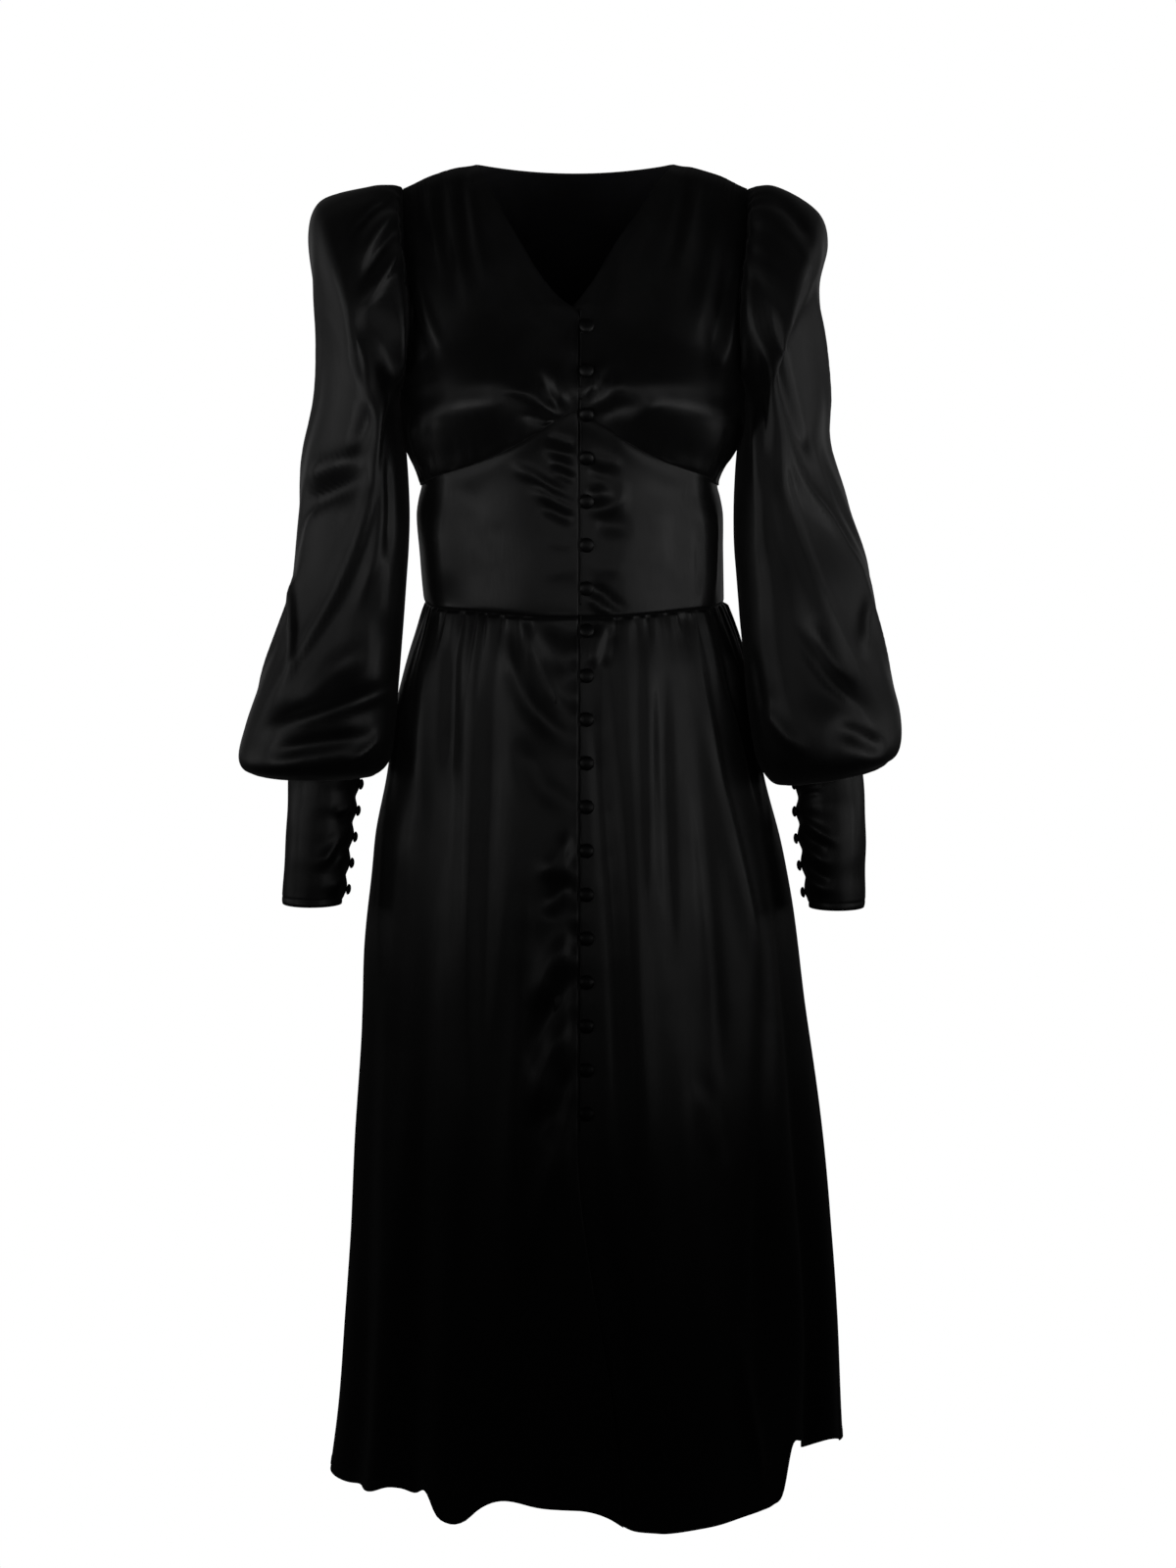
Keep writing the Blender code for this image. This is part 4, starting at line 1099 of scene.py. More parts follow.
# %% Creases of the bodice fronts
BODICE_FRONT_CREASES = {
    "right": rows_of(
        Crease,
        (3.4, 8, 0.4, ((-142, -69), (-130, -110), (-119, -142), (-109, -166))),
        (-3.0, 7, 0, ((-147, -88), (-138, -120), (-128, -152), (-119, -184))),
        (1.8, 5, 0.2, ((-92, -4), (-85, -50), (-75, -104))),
        (-1.8, 5, 0, ((-98, -6), (-92, -52), (-83, -112))),
        (2.2, 6, 0.2, ((-107, -8), (-101, -58), (-91, -124))),
        (-2.4, 6, 0, ((-116, -10), (-110, -60), (-100, -122))),
        (2.2, 5, -0.2, ((-124, -14), (-119, -55), (-112, -98))),
        (-1.6, 4, 0, ((-132, -18), (-129, -48), (-124, -80))),
        (1.8, 12, 0.2, ((-126, -204), (-96, -190), (-62, -182), (-38, -188), (-18, -208))),
        (3.6, 4, 0.3, ((-8, -214), (-24, -203), (-42, -191), (-62, -186))),
        (-3.2, 4, 0, ((-12, -219), (-30, -212), (-48, -206))),
        (3.0, 5, 0, ((-6, -206), (-14, -186), (-20, -164))),
        (-2.6, 4, 0, ((-14, -206), (-24, -188), (-32, -170))),
        (2.4, 4, 0, ((-122, -262), (-126, -236), (-130, -210))),
        (-2.0, 4, 0, ((-114, -258), (-117, -236), (-119, -214))),
    ),
    "left": rows_of(
        Crease,
        (3.8, 7, -0.4, ((142, -64), (137, -110), (131, -146), (124, -183))),
        (-3.6, 8, 0, ((134, -74), (126, -116), (118, -152), (112, -182))),
        (2.0, 7, 0, ((124, -30), (116, -80), (104, -130), (96, -160))),
        (-2.2, 8, 0, ((114, -20), (105, -75), (94, -128))),
        (1.6, 5, 0, ((104, -10), (97, -50), (88, -92))),
        (-1.5, 5, 0, ((96, -8), (88, -48), (78, -94))),
        (1.8, 12, 0.2, ((12, -208), (32, -192), (62, -184), (93, -187), (128, -202))),
        (4.0, 4, 0.2, ((7, -196), (17, -180), (27, -158))),
        (-2.6, 3.5, 0, ((11, -201), (22, -184), (33, -164))),
        (3.8, 5, 0, ((12, -205), (26, -192), (40, -172))),
        (-2.6, 5, 0, ((14, -213), (34, -203), (54, -197))),
        (2.2, 4, 0, ((40, -222), (54, -208), (68, -194))),
        (3.0, 5, 0, ((118, -266), (126, -238), (133, -208))),
        (-2.6, 4, 0, ((110, -262), (117, -238), (122, -216))),
    ),
}
SHOULDER_GATHER = Gather(7, 1.0, 34, 3, 0.6)
SHOULDER_SEED = 4.0
BUST_GATHER = Gather(11, 1.5, 18, 3, 0.5)
BUST_SEED = {"right": 1.0, "left": 2.3}
BUST_OVERHANG = 7.0  # how far the fullness stands off above the seam
OVERHANG_CREST = 50.0  # this far above the seam
OVERHANG_END = 112.0
CROWN_FLAT = 2.0  # the fullest line of the bust is pressed in by this little
CROWN_LEVEL = -189.0
CROWN_SAG = 8.0  # it runs this much lower at CROWN_REACH from the fullest place
CROWN_REACH = 45.0
CROWN_WIDTH = 9.0
print("creases of the fronts:", {side: len(rows) for side, rows in BODICE_FRONT_CREASES.items()})

# %% How the dress hangs at its sides and its front
SideSwell = namedtuple("SideSwell", "level right left")
SIDE_SWELL = rows_of(
    SideSwell,
    (-150, 0, 0),
    (-190, 0.6, 0.6),
    (-207, 3.5, 2.5),
    (-238, 5.5, 5.0),
    (-262, 3.0, 1.0),
    (-285, 5.0, 3.5),
    (-330, 3.6, 2.2),
    (-380, 1.5, 1.0),
    (-405, 0.0, 1.0),
    (-435, 0.0, 1.0),
    (-465, 1.0, 1.5),
    (-525, 3.0, 0.0),
    (-600, 0.5, 0.0),
    (-680, 2.0, 0.0),
    (-760, -1.0, 0.0),
    (-850, -1.0, 0.0),
    (-1000, -1.5, -0.5),
    (-1145, 0.0, -1.5),
)
SIDE_PART = (0.72, 0.97)  # shares of the half width between which the side begins


def share_across(x, level):
    """0 at the centre line and 1 at the side of the dress."""
    return np.abs(x) / half_width(np.sign(x), level)


def side_swell(cloth):
    """How the sides of the dress stand off or fall in, the same on the front and the back."""
    x = cloth.points[..., 0]
    level = cloth.points[..., 2]
    return read_sides(SIDE_SWELL, x, level) * ease(share_across(x, level), *SIDE_PART)


FrontSwell = namedtuple("FrontSwell", "level out right left")
FRONT_SWELL = rows_of(
    FrontSwell,
    (-215, 0, 0, 0),
    (-235, 0.5, 3.0, 3.0),
    (-260, 1.2, 7.0, 7.0),
    (-300, 3.0, 9.0, 9.0),
    (-340, 4.4, 9.0, 9.0),
    (-380, 5.0, 9.0, 8.0),
    (-398, 3.0, 9.0, 6.5),
    (-420, 2.2, 9.0, 4.5),
    (-450, 1.6, 9.0, 2.5),
    (-500, 0.6, 8.0, 0.5),
    (-560, 0, 6.0, 0),
    (-650, 0, 2.5, 0),
    (-750, 0, 0, 0),
)
FRONT_PART = (0.55, 0.98)  # shares of the half width between which the flat front ends
CORNER_AT = 0.84  # where the front turns to the side
CORNER_WIDE = 0.12
WAIST_CLIMB = 5.0
WAIST_CLIMB_PART = (0.1, 0.95)
WAIST_CLIMB_TALL = 45.0
SHOULDER_RISE = 3.0
RISE_FROM_NECK = 22.0
RISE_FROM_ARM = 26.0
RISE_DOWN = 42.0


def front_swell(cloth):
    """The front hangs straight from the bust past the waist, and turns late to the sides."""
    x = cloth.points[..., 0]
    level = cloth.points[..., 2]
    across = share_across(x, level)
    out = read(FRONT_SWELL, "out", level) * (1 - ease(across, *FRONT_PART))
    return out + read_sides(FRONT_SWELL, x, level) * bump(across, CORNER_AT, CORNER_WIDE)


def waist_lift(cloth):
    """The waist seam climbs a few millimetres from the centre to the sides."""
    level = cloth.points[..., 2]
    climb = ease(share_across(cloth.points[..., 0], level), *WAIST_CLIMB_PART)
    points = cloth.points.copy()
    points[..., 2] += WAIST_CLIMB * climb * bump(level, WAIST, WAIST_CLIMB_TALL)
    return cloth._replace(points=points)


def shoulder_rise(cloth):
    """The gathered shoulder stands up a little between the neck and the armhole."""
    aside = np.abs(cloth.points[..., 0])
    inner = ease(aside, NECK_HALF, NECK_HALF + RISE_FROM_NECK)
    outer = 1 - ease(aside, SHOULDER_HALF - RISE_FROM_ARM, SHOULDER_HALF)
    return SHOULDER_RISE * inner * outer * (1 - ease(cloth.high, 0, RISE_DOWN))


print("levels where the sides swell:", len(SIDE_SWELL), "and the front:", len(FRONT_SWELL))

# %% Bodice fronts
def bodice_front_shape(side):
    """The worn form over one front's cut, from the under-bust seam to the shoulder."""
    sign = SIGN[side]

    def shape(across, along):
        outer_turn, outer_level = outer_edge(along, BUST_SEAM[-1].level)
        inner_level = BUST_SEAM[0].level * (1 - along) ** NECK_ROWS_POWER
        turn = front_turn(across, inner_level, side, BODICE_PLACKET, outer_turn)
        seam = bust_seam(turn, side)
        seam_share = (seam - BUST_SEAM[0].level) / (BUST_SEAM[-1].level - BUST_SEAM[0].level)
        share = mix(seam_share, across, ease(along, 0, 0.8))
        level = mix(inner_level, outer_level, share)
        top_turn = mix(turn_at(sign * NECK_HALF, 0.0), sign * armhole(0.0)[0], across)
        top_x = half_width(sign, 0.0) * signed_power(np.sin(np.radians(top_turn)), 2 / ROUND)
        residual = shoulder_height(top_x) + SHOULDER_DROP * across
        level = level + residual * along**4
        level = level + SEAM / 2 * (1 - along)
        x = form(turn, level, -1)[0][:, 0]
        points, outward = form(turn, level, -1, underlap_step(x, level, side))
        return points + (0, -SEAM / 2, 0), outward

    return shape


grid = GRID["bodice_front"]
for side in SIGN:
    cloth = lattice(steps(grid.columns), steps(grid.rows), bodice_front_shape(side))
    free = past_placket(cloth.across, BODICE_PLACKET)
    lift = gathers(free, cloth.low, BUST_GATHER, BUST_SEED[side], start=0.06, end=0.10)
    middle = ease(free, 0, 0.2) * ease(1 - free, 0, 0.15)
    lift += blouse(cloth.low, most=1.6, reach=7.0) * middle
    rising = ease(cloth.low, 0, OVERHANG_CREST)
    falling = 1 - ease(cloth.low, OVERHANG_CREST, OVERHANG_END)
    lift += BUST_OVERHANG * rising * falling * middle
    aside = np.abs(cloth.points[..., 0]) - BUST_APART
    crown = CROWN_LEVEL - CROWN_SAG * (aside / CROWN_REACH) ** 2
    lift -= CROWN_FLAT * bump(cloth.points[..., 2], crown, CROWN_WIDTH) * middle
    lift += side_swell(cloth) + front_swell(cloth) + shoulder_rise(cloth)
    lift += pulled_placket(cloth, height=0.7, reach=11)
    lift += gathers(cloth.across, cloth.high, SHOULDER_GATHER, SHOULDER_SEED, start=0.1, end=0.08)
    away = off_edges(cloth, start=10, low=5, end=5)
    lift += creases(cloth, BODICE_FRONT_CREASES[side]) * away
    lift += 0.5 * drift(cloth.points, sideways=90, upwards=120) * away
    lift += roll(cloth.high) + roll(cloth.end) + roll(cloth.start, deep=0.3, wide=1.0)
    sew("bodice_front_" + side, "bodice_front", cloth, lift)

# %% [markdown]
# ## Bodice back
#
# The back is one piece from the shoulders to the waist, with a shallow neck edge. It hangs nearly
# smooth: a few drag lines run to the armholes, and some fullness drops over the waist. Two
# mirrored halves would be easier to lay out, but they would show a seam that isn't there, so one
# lattice goes right across.

# %% Bodice back
BODICE_BACK_CREASES = rows_of(
    Crease,
    (2.6, 8, 0.3, ((-140, -80), (-122, -120), (-104, -150))),
    (-2.4, 7, 0, ((-146, -100), (-128, -138), (-110, -168))),
    (2.6, 8, -0.3, ((140, -84), (120, -128), (100, -160))),
    (-2.4, 7, 0, ((145, -104), (126, -146), (106, -178))),
    (1.8, 11, 0, ((-116, -250), (-78, -268), (-34, -262))),
    (-1.4, 11, 0, ((-112, -272), (-74, -288), (-36, -284))),
    (1.6, 11, 0, ((118, -262), (82, -284), (40, -290))),
    (-1.2, 11, 0, ((112, -284), (78, -304), (42, -308))),
    (1.8, 10, 0, ((-60, -60), (-58, -140), (-52, -210))),
    (1.8, 10, 0, ((64, -56), (60, -130), (52, -200))),
    (-1.8, 12, 0, ((2, -120), (4, -220), (0, -320))),
    (2.2, 6, 0, ((-90, -374), (-86, -346), (-78, -312))),
    (2.2, 6, 0, ((88, -374), (83, -344), (74, -318))),
)
BACK_SHOULDER_GATHER = Gather(10, 0.7, 34, 3, 0.5)
BACK_WAIST_GATHER = Gather(13, 1.3, 24, 3, 0.7)


def bodice_back_shape(across, along):
    """The worn form over the back's cut, from the waist to the neck and the shoulders."""
    which = 2 * across - 1
    share = np.abs(which)
    sign = np.where(which < 0, -1.0, 1.0)
    outer_turn, outer_level = outer_edge(along, WAIST)
    neck_turn = turn_at(NECK_HALF, 0.0)
    shoulder = (share - BACK_NECK_SHARE) / (1 - BACK_NECK_SHARE)
    at_neck = neck_turn * share / BACK_NECK_SHARE
    at_top = np.where(shoulder < 0, at_neck, mix(neck_turn, outer_turn, shoulder))
    turn = mix(outer_turn * share, at_top, ease(along, 0.75, 1.0))
    top_x = half_width(1, 0.0) * np.sin(np.radians(turn)) ** (2 / ROUND)
    neck_level = BACK_NECK * (1 - np.clip(top_x / NECK_HALF, 0, 1) ** 2)
    seam_level = np.where(shoulder < 0, neck_level, shoulder_height(top_x))
    middle_level = mix(WAIST, BACK_NECK, along**0.8)
    level = mix(middle_level, outer_level, share**1.5)
    level = mix(level, seam_level, ease(along, 0.55, 1.0) ** 2)
    level = np.where(share > 1 - 1e-6, outer_level, level)
    level = level + SEAM / 2 * (1 - along)
    points, outward = form(sign * turn, level, 1)
    return points + (0, SEAM / 2, 0), outward


grid = GRID["bodice_back"]
cloth = lattice(steps(grid.columns), steps(grid.rows), bodice_back_shape)
lift = gathers(cloth.across, cloth.low, BACK_WAIST_GATHER, seed=5.0, start=0.04, end=0.04)
over_waist = blouse(cloth.low, most=3.0, reach=20.0)
lift += over_waist * ease(cloth.across, 0, 0.1) * ease(1 - cloth.across, 0, 0.1)
at_shoulder = ease(np.abs(2 * cloth.across - 1), BACK_NECK_SHARE, BACK_NECK_SHARE + 0.1)
lift += gathers(cloth.across, cloth.high, BACK_SHOULDER_GATHER, seed=2.0) * at_shoulder
lift += side_swell(cloth) + shoulder_rise(cloth)
away = off_edges(cloth, low=5, high=6, start=5, end=5)
lift += creases(cloth, BODICE_BACK_CREASES, BACK) * away
lift += 0.7 * drift(cloth.points, sideways=100, upwards=130, seed=1.0) * away
lift += roll(cloth.low) + roll(cloth.high) + roll(cloth.start) + roll(cloth.end)
sew("bodice_back", "bodice_back", waist_lift(cloth), lift)

# %% [markdown]
# ## Midriff
#
# The midriff fits closely, so it is the smoothest cloth of the dress. Only the buttons disturb
# it: each one pulls short wrinkles to the edge, most of them just under the bust. The peaked seam
# above it could be cut to shape afterwards, but both pieces read the same curve for it here, so
# nothing has to be fitted.

# %% Midriff
MIDRIFF_CREASES = {
    "right": rows_of(
        Crease,
        (2.4, 5, 0.3, ((-56, -247), (-26, -266), (2, -281))),
        (-1.9, 4, 0, ((-48, -258), (-22, -274), (2, -287))),
        (2.0, 4, 0, ((-38, -270), (-18, -280), (2, -291))),
        (-2.2, 5, 0, ((-32, -284), (-14, -292), (2, -300))),
        (1.8, 4, 0, ((-24, -226), (-10, -231), (2, -235))),
        (-1.9, 4, 0, ((-30, -236), (-14, -240), (2, -244))),
        (1.8, 4, 0, ((-24, -247), (-10, -251), (2, -257))),
        (-1.6, 3.5, 0, ((-20, -256), (-8, -260), (2, -266))),
        (0.5, 5, 0, ((-26, -314), (-12, -317), (2, -319))),
        (0.5, 6, 0, ((-28, -345), (-12, -341), (2, -340))),
        (-1.2, 12, 0, ((-90, -268), (-76, -300), (-60, -330))),
        (1.2, 14, 0, ((-112, -290), (-104, -330), (-100, -372))),
    ),
    "left": rows_of(
        Crease,
        (2.4, 5, 0, ((8, -287), (22, -289), (36, -280), (38, -262))),
        (-2.4, 6, 0, ((8, -276), (18, -276), (28, -270))),
        (-2.2, 9, 0, ((16, -298), (32, -302), (46, -300))),
        (1.6, 6, 0, ((12, -240), (24, -248), (40, -250))),
        (-1.6, 5, 0, ((10, -252), (20, -258), (32, -262))),
        (0.8, 7, 0, ((12, -344), (26, -338), (38, -346))),
        (-2.2, 4.5, 0, ((12, -350), (26, -363), (40, -378))),
        (1.8, 4, 0, ((10, -360), (20, -370), (28, -379))),
        (-1.6, 6, 0, ((96, -290), (99, -336), (97, -378))),
        (1.8, 7, 0, ((110, -284), (112, -334), (110, -378))),
        (1.0, 10, 0, ((66, -270), (70, -310), (66, -352))),
    ),
}
CREASE_STRENGTH = 1.25  # the midriff's creases are this many times as high as written
UNDER_SEAM = 1.0  # the midriff's top edge runs this far under the bodice


def midriff_shape(side):
    """The worn form over one midriff's cut, from the waist to the peaked seam."""

    def shape(across, along):
        straight = mix(WAIST, BUST_SEAM[0].level, along)
        turn = front_turn(across, straight, side, BODICE_PLACKET)
        top = bust_seam(turn, side)
        level = mix(WAIST + SEAM / 2, top + UNDER_SEAM, along)
        x = form(turn, level, -1)[0][:, 0]
        points, outward = form(turn, level, -1, underlap_step(x, level, side))
        return points + (0, -SEAM / 2, 0), outward

    return shape


grid = GRID["midriff"]
for side in SIGN:
    cloth = lattice(steps(grid.columns), steps(grid.rows), midriff_shape(side))
    away = off_edges(cloth, low=6, high=5, end=6)
    lift = CREASE_STRENGTH * creases(cloth, MIDRIFF_CREASES[side]) * away
    lift += side_swell(cloth) + front_swell(cloth) + pulled_placket(cloth, height=0.5, reach=12)
    lift += 0.45 * drift(cloth.points, sideways=110, upwards=100, seed=2.0) * away
    edges = roll(cloth.low) + roll(cloth.high, deep=1.3, wide=7) + roll(cloth.end)
    lift += edges + roll(cloth.start, deep=0.3, wide=1.0)
    sew("midriff_" + side, "midriff", waist_lift(cloth), lift)

# %% [markdown]
# ## Skirt
#
# Twelve gathers on each front run out of the waist seam and sink into long vertical folds,
# which grow towards the hem. Beside the button line the satin swoops: a curved fold falls from
# the right of the waist to the edge, and smaller ones follow it down, where the loops hold the
# edge up. The front hem doesn't hang level: it dips, rises, and steps up past the left fold. The
# hanging folds come with the form, and the rest is added to it here, because a fold that is part
# of the form carries the gathers, the buttons and the hem along with it.

# %% Creases of the skirt fronts
SKIRT_CREASES = {
    "right": rows_of(
        Crease,
        (-4.2, 7, 0, ((-101, -384), (-104, -456), (-107, -530))),
        (3.2, 9, 0.2, ((-118, -388), (-125, -470), (-130, -580))),
        (3.6, 10, 0, ((-86, -388), (-89, -480), (-92, -620), (-96, -760))),
        (-3.4, 9, 0, ((-66, -390), (-70, -500), (-76, -640), (-82, -800))),
        (-3.8, 8, 0, ((-42, -382), (-32, -421), (-18, -449), (0, -463))),
        (4.4, 8, 0.3, ((-58, -390), (-49, -424), (-36, -452), (-19, -472), (0, -481))),
        (1.4, 8, 0, ((-24, -386), (-15, -410), (-3, -434))),
        (-2.6, 10, 0, ((-46, -476), (-36, -506), (-20, -528), (0, -536))),
        (4.0, 9, 0, ((2, -560), (-10, -574), (-28, -602))),
        (-3.8, 8, 0, ((2, -594), (-12, -610), (-28, -630))),
        (4.4, 9, 0, ((2, -636), (-10, -652), (-26, -684), (-34, -712))),
        (-4.2, 9, 0, ((2, -676), (-12, -696), (-28, -726), (-36, -764))),
        (4.8, 9, 0, ((2, -706), (-10, -722), (-26, -756), (-36, -806))),
        (-3.8, 9, 0, ((2, -750), (-12, -780), (-26, -822))),
        (3.2, 10, 0, ((0, -800), (-18, -838), (-32, -886), (-42, -940))),
        (-3.0, 10, 0, ((-40, -560), (-46, -680), (-54, -820), (-60, -960))),
        (2.6, 12, 0, ((-108, -600), (-116, -760), (-124, -940))),
        (-3.0, 12, 0, ((-140, -560), (-150, -720), (-158, -900))),
        (2.4, 10, 0, ((-150, -470), (-160, -580), (-166, -700))),
    ),
    "left": rows_of(
        Crease,
        (-5.0, 9, 0, (
            (13, -396), (19, -478), (26, -560), (32, -642), (37, -765), (41, -930),
        )),
        (3.2, 6, 0, ((61, -390), (62, -462), (63, -540), (66, -660))),
        (-3.2, 7, 0, ((73, -388), (75, -470), (78, -570), (84, -700))),
        (3.2, 10, 0, ((42, -392), (45, -480), (50, -600), (56, -760), (60, -900))),
        (5.6, 9, 0.3, (
            (94, -386), (107, -446), (121, -519), (139, -592), (152, -653), (160, -720),
        )),
        (-5.6, 6, 0, ((112, -385), (131, -442), (148, -499), (160, -560))),
        (4.2, 4.5, 0, ((121, -386), (142, -453), (161, -524), (172, -590))),
        (-3.4, 9, 0, ((96, -470), (108, -560), (118, -680), (124, -820))),
        (-6.0, 12, 0, ((160, -620), (164, -773), (166, -897), (163, -1053))),
        (4.0, 9, 0, ((140, -980), (152, -1050), (166, -1090), (174, -1128))),
        (2.8, 12, 0, ((92, -700), (100, -860), (108, -1000))),
        (-2.6, 5, 0, ((30, -384), (28, -402), (24, -424))),
        (2.6, 5, 0, ((22, -384), (18, -404), (14, -424))),
        (1.2, 7, 0, ((98, -770), (110, -800), (118, -840))),
        (-1.2, 7, 0, ((108, -760), (122, -800), (130, -850))),
    ),
}
SKIRT_BACK_CREASES = rows_of(
    Crease,
    (3.4, 9, 0.2, ((-96, -388), (-110, -470), (-128, -580), (-140, -700))),
    (-3.6, 8, 0, ((-80, -386), (-92, -470), (-104, -570), (-114, -680))),
    (3.6, 10, 0, ((-58, -388), (-66, -480), (-74, -620), (-80, -780))),
    (-3.6, 9, 0, ((-34, -386), (-42, -480), (-46, -600), (-48, -760))),
    (3.2, 9, 0, ((-10, -388), (-14, -470), (-16, -600), (-18, -740))),
    (-4.2, 8, 0, ((14, -386), (18, -470), (22, -590), (24, -740))),
    (3.4, 9, 0.2, ((38, -388), (46, -480), (52, -620), (54, -760))),
    (-3.4, 9, 0, ((62, -386), (74, -470), (84, -580), (92, -720))),
    (3.6, 9, 0, ((86, -388), (102, -470), (118, -570), (132, -700))),
    (-3.2, 8, 0, ((106, -388), (126, -470), (144, -560), (156, -660))),
)
WAIST_GATHER = Gather(12, 3.6, 28, 2.5, 0.6)
WAIST_SEED = {"right": 1.5, "left": 3.0}
BACK_GATHER = Gather(23, 2.8, 28, 2.5, 0.6)
BACK_SEED = 5.0
print("creases of the skirt:", sum(len(rows) for rows in SKIRT_CREASES.values()), "in front")

# %% How the skirt ends at its hem
HEM_TURNING = 9.0  # the hem is turned up and stitched this far above its edge
HEM_PROUD = 0.35
GROOVE_DEEP = 0.5
GROOVE_WIDE = 1.2


def hem_band(away):
    """The turned hem: a slightly thicker band, with a groove along its stitching."""
    band = 1 - ease(away, HEM_TURNING - 0.6, HEM_TURNING + GROOVE_WIDE)
    return HEM_PROUD * band - GROOVE_DEEP * bump(away, HEM_TURNING, GROOVE_WIDE)


HemChange = namedtuple("HemChange", "x down")
HEM_CHANGE = rows_of(
    HemChange,
    (-215, 0),
    (-195, 1),
    (-178, -5),
    (-160, -13),
    (-148, -13),
    (-136, -11),
    (-127, -16),
    (-118, 4),
    (-108, 13),
    (-94, 15),
    (-82, 8),
    (-30, 7),
    (30, 7),
    (46, 12),
    (70, 9),
    (105, 5),
    (140, 7),
    (160, 7),
)
HemStep = namedtuple("HemStep", "turn up")
LEFT_HEM_STEP = rows_of(
    HemStep,
    (44, 0),
    (49, 0),
    (53, 0),
    (57, 5),
    (61, 42),
    (65, 41),
    (69, 35),
    (74, 20),
    (82, 16),
    (90, 8),
)
HEM_CHANGE_START = 1000.0  # below the shoulders: the rows above this level hang as they were
Valley = namedtuple("Valley", "depth turn width start full")
LEFT_VALLEY = Valley(30, 58, 11, 700, 1120)


def seen_turn(cloth):
    """The angle at which a point stands round the dress: 0 in front and 90 at its left."""
    return np.degrees(np.arctan2(cloth.points[..., 0], -cloth.points[..., 1]))


def hang_hem(cloth):
    """The front hem dips and rises as the folds swing, and steps up past the left fold."""
    down = read(HEM_CHANGE, "down", cloth.points[..., 0])
    down = down - read(LEFT_HEM_STEP, "up", seen_turn(cloth))
    points = cloth.points.copy()
    points[..., 2] -= down * ease(-cloth.points[..., 2], HEM_CHANGE_START, -MEAN_HEM)
    return cloth._replace(points=points)


print("step of the left hem:", max(row.up for row in LEFT_HEM_STEP), "mm")

# %% Skirt
def skirt_level(angle, along):
    """Level of a skirt row: 0 is the waist seam and 1 the hem."""
    return mix(WAIST - SEAM / 2, read(HEM, "level", angle), along)


def skirt_front_shape(side):
    """The worn form over one skirt front's cut, from the waist to the hem."""

    def shape(across, along):
        straight = skirt_level(0.0, along)
        turn = front_turn(across, straight, side, SKIRT_PLACKET)
        level = skirt_level(turn, along)
        x = form(turn, level, -1)[0][:, 0]
        points, outward = form(turn, level, -1, underlap_step(x, level, side))
        return points + (0, -SEAM / 2, 0), outward

    return shape


def skirt_back_shape(across, along):
    """The worn form over the skirt back's cut, from the waist to the hem."""
    turn = mix(-90.0, 90.0, across)
    level = skirt_level(wrapped(180 - turn), along)
    points, outward = form(turn, level, 1)
    return points + (0, SEAM / 2, 0), outward


def rows_down(count):
    """Rows of a skirt: close at the gathers, wide in the middle, and close at the hem."""
    even = np.linspace(0, 1, count + 1)
    return mix(even**1.35, steps(count), 0.5)


def skirt_detail(cloth, share, gather, seed):
    """Gathers, unevenness that grows downwards, the seam at the waist and the hem."""
    lift = gathers(share, cloth.low, gather, seed, start=0.04, end=0.04)
    away = off_edges(cloth, low=8, start=12, end=12)
    grown = ease(cloth.low, 40, 500)
    lift += (0.5 + 0.9 * grown) * drift(cloth.points, sideways=120, upwards=420, seed=seed) * away
    edges = roll(cloth.low) + roll(cloth.start, deep=0.3, wide=1.0)
    lift += edges + roll(cloth.end, deep=0.7, wide=1.2)
    return lift + side_swell(cloth) + hem_band(cloth.high), away


SKIRT_CLOSE = 0.5  # how much closer the columns lie at the side edges
grid = GRID["skirt_front"]
for side in SIGN:
    columns = steps(grid.columns, SKIRT_CLOSE)
    cloth = lattice(columns, rows_down(grid.rows), skirt_front_shape(side))
    free = past_placket(cloth.across, SKIRT_PLACKET)
    lift, away = skirt_detail(cloth, free, WAIST_GATHER, WAIST_SEED[side])
    pulled = pulled_placket(cloth, height=1.1, reach=16)
    lift += creases(cloth, SKIRT_CREASES[side]) * away + pulled
    if side == "left":
        grown = ease(-cloth.points[..., 2], LEFT_VALLEY.start, LEFT_VALLEY.full)
        across = bump(seen_turn(cloth), LEFT_VALLEY.turn, LEFT_VALLEY.width)
        lift -= LEFT_VALLEY.depth * across * grown
    lift += front_swell(cloth)
    sew("skirt_front_" + side, "skirt_front", waist_lift(hang_hem(cloth)), lift)

grid = GRID["skirt_back"]
cloth = lattice(steps(grid.columns, SKIRT_CLOSE), rows_down(grid.rows), skirt_back_shape)
lift, away = skirt_detail(cloth, cloth.across, BACK_GATHER, BACK_SEED)
lift += creases(cloth, SKIRT_BACK_CREASES, BACK) * away
sew("skirt_back", "skirt_back", waist_lift(cloth), lift)

# %% [markdown]
# ## Sleeves
#
# A balloon sleeve is cut much wider than the arm. Its head is gathered over the top of the
# armhole into a puff, and its foot into the cuff, where the fullness drops over the seam. In
# between, the cloth falls in long diagonal folds from the puff to the outer corner. A bent
# cylinder would have to be joined to the bodice afterwards. Here the sleeve is a row of rings,
# and the first of them is the armhole's own curve.

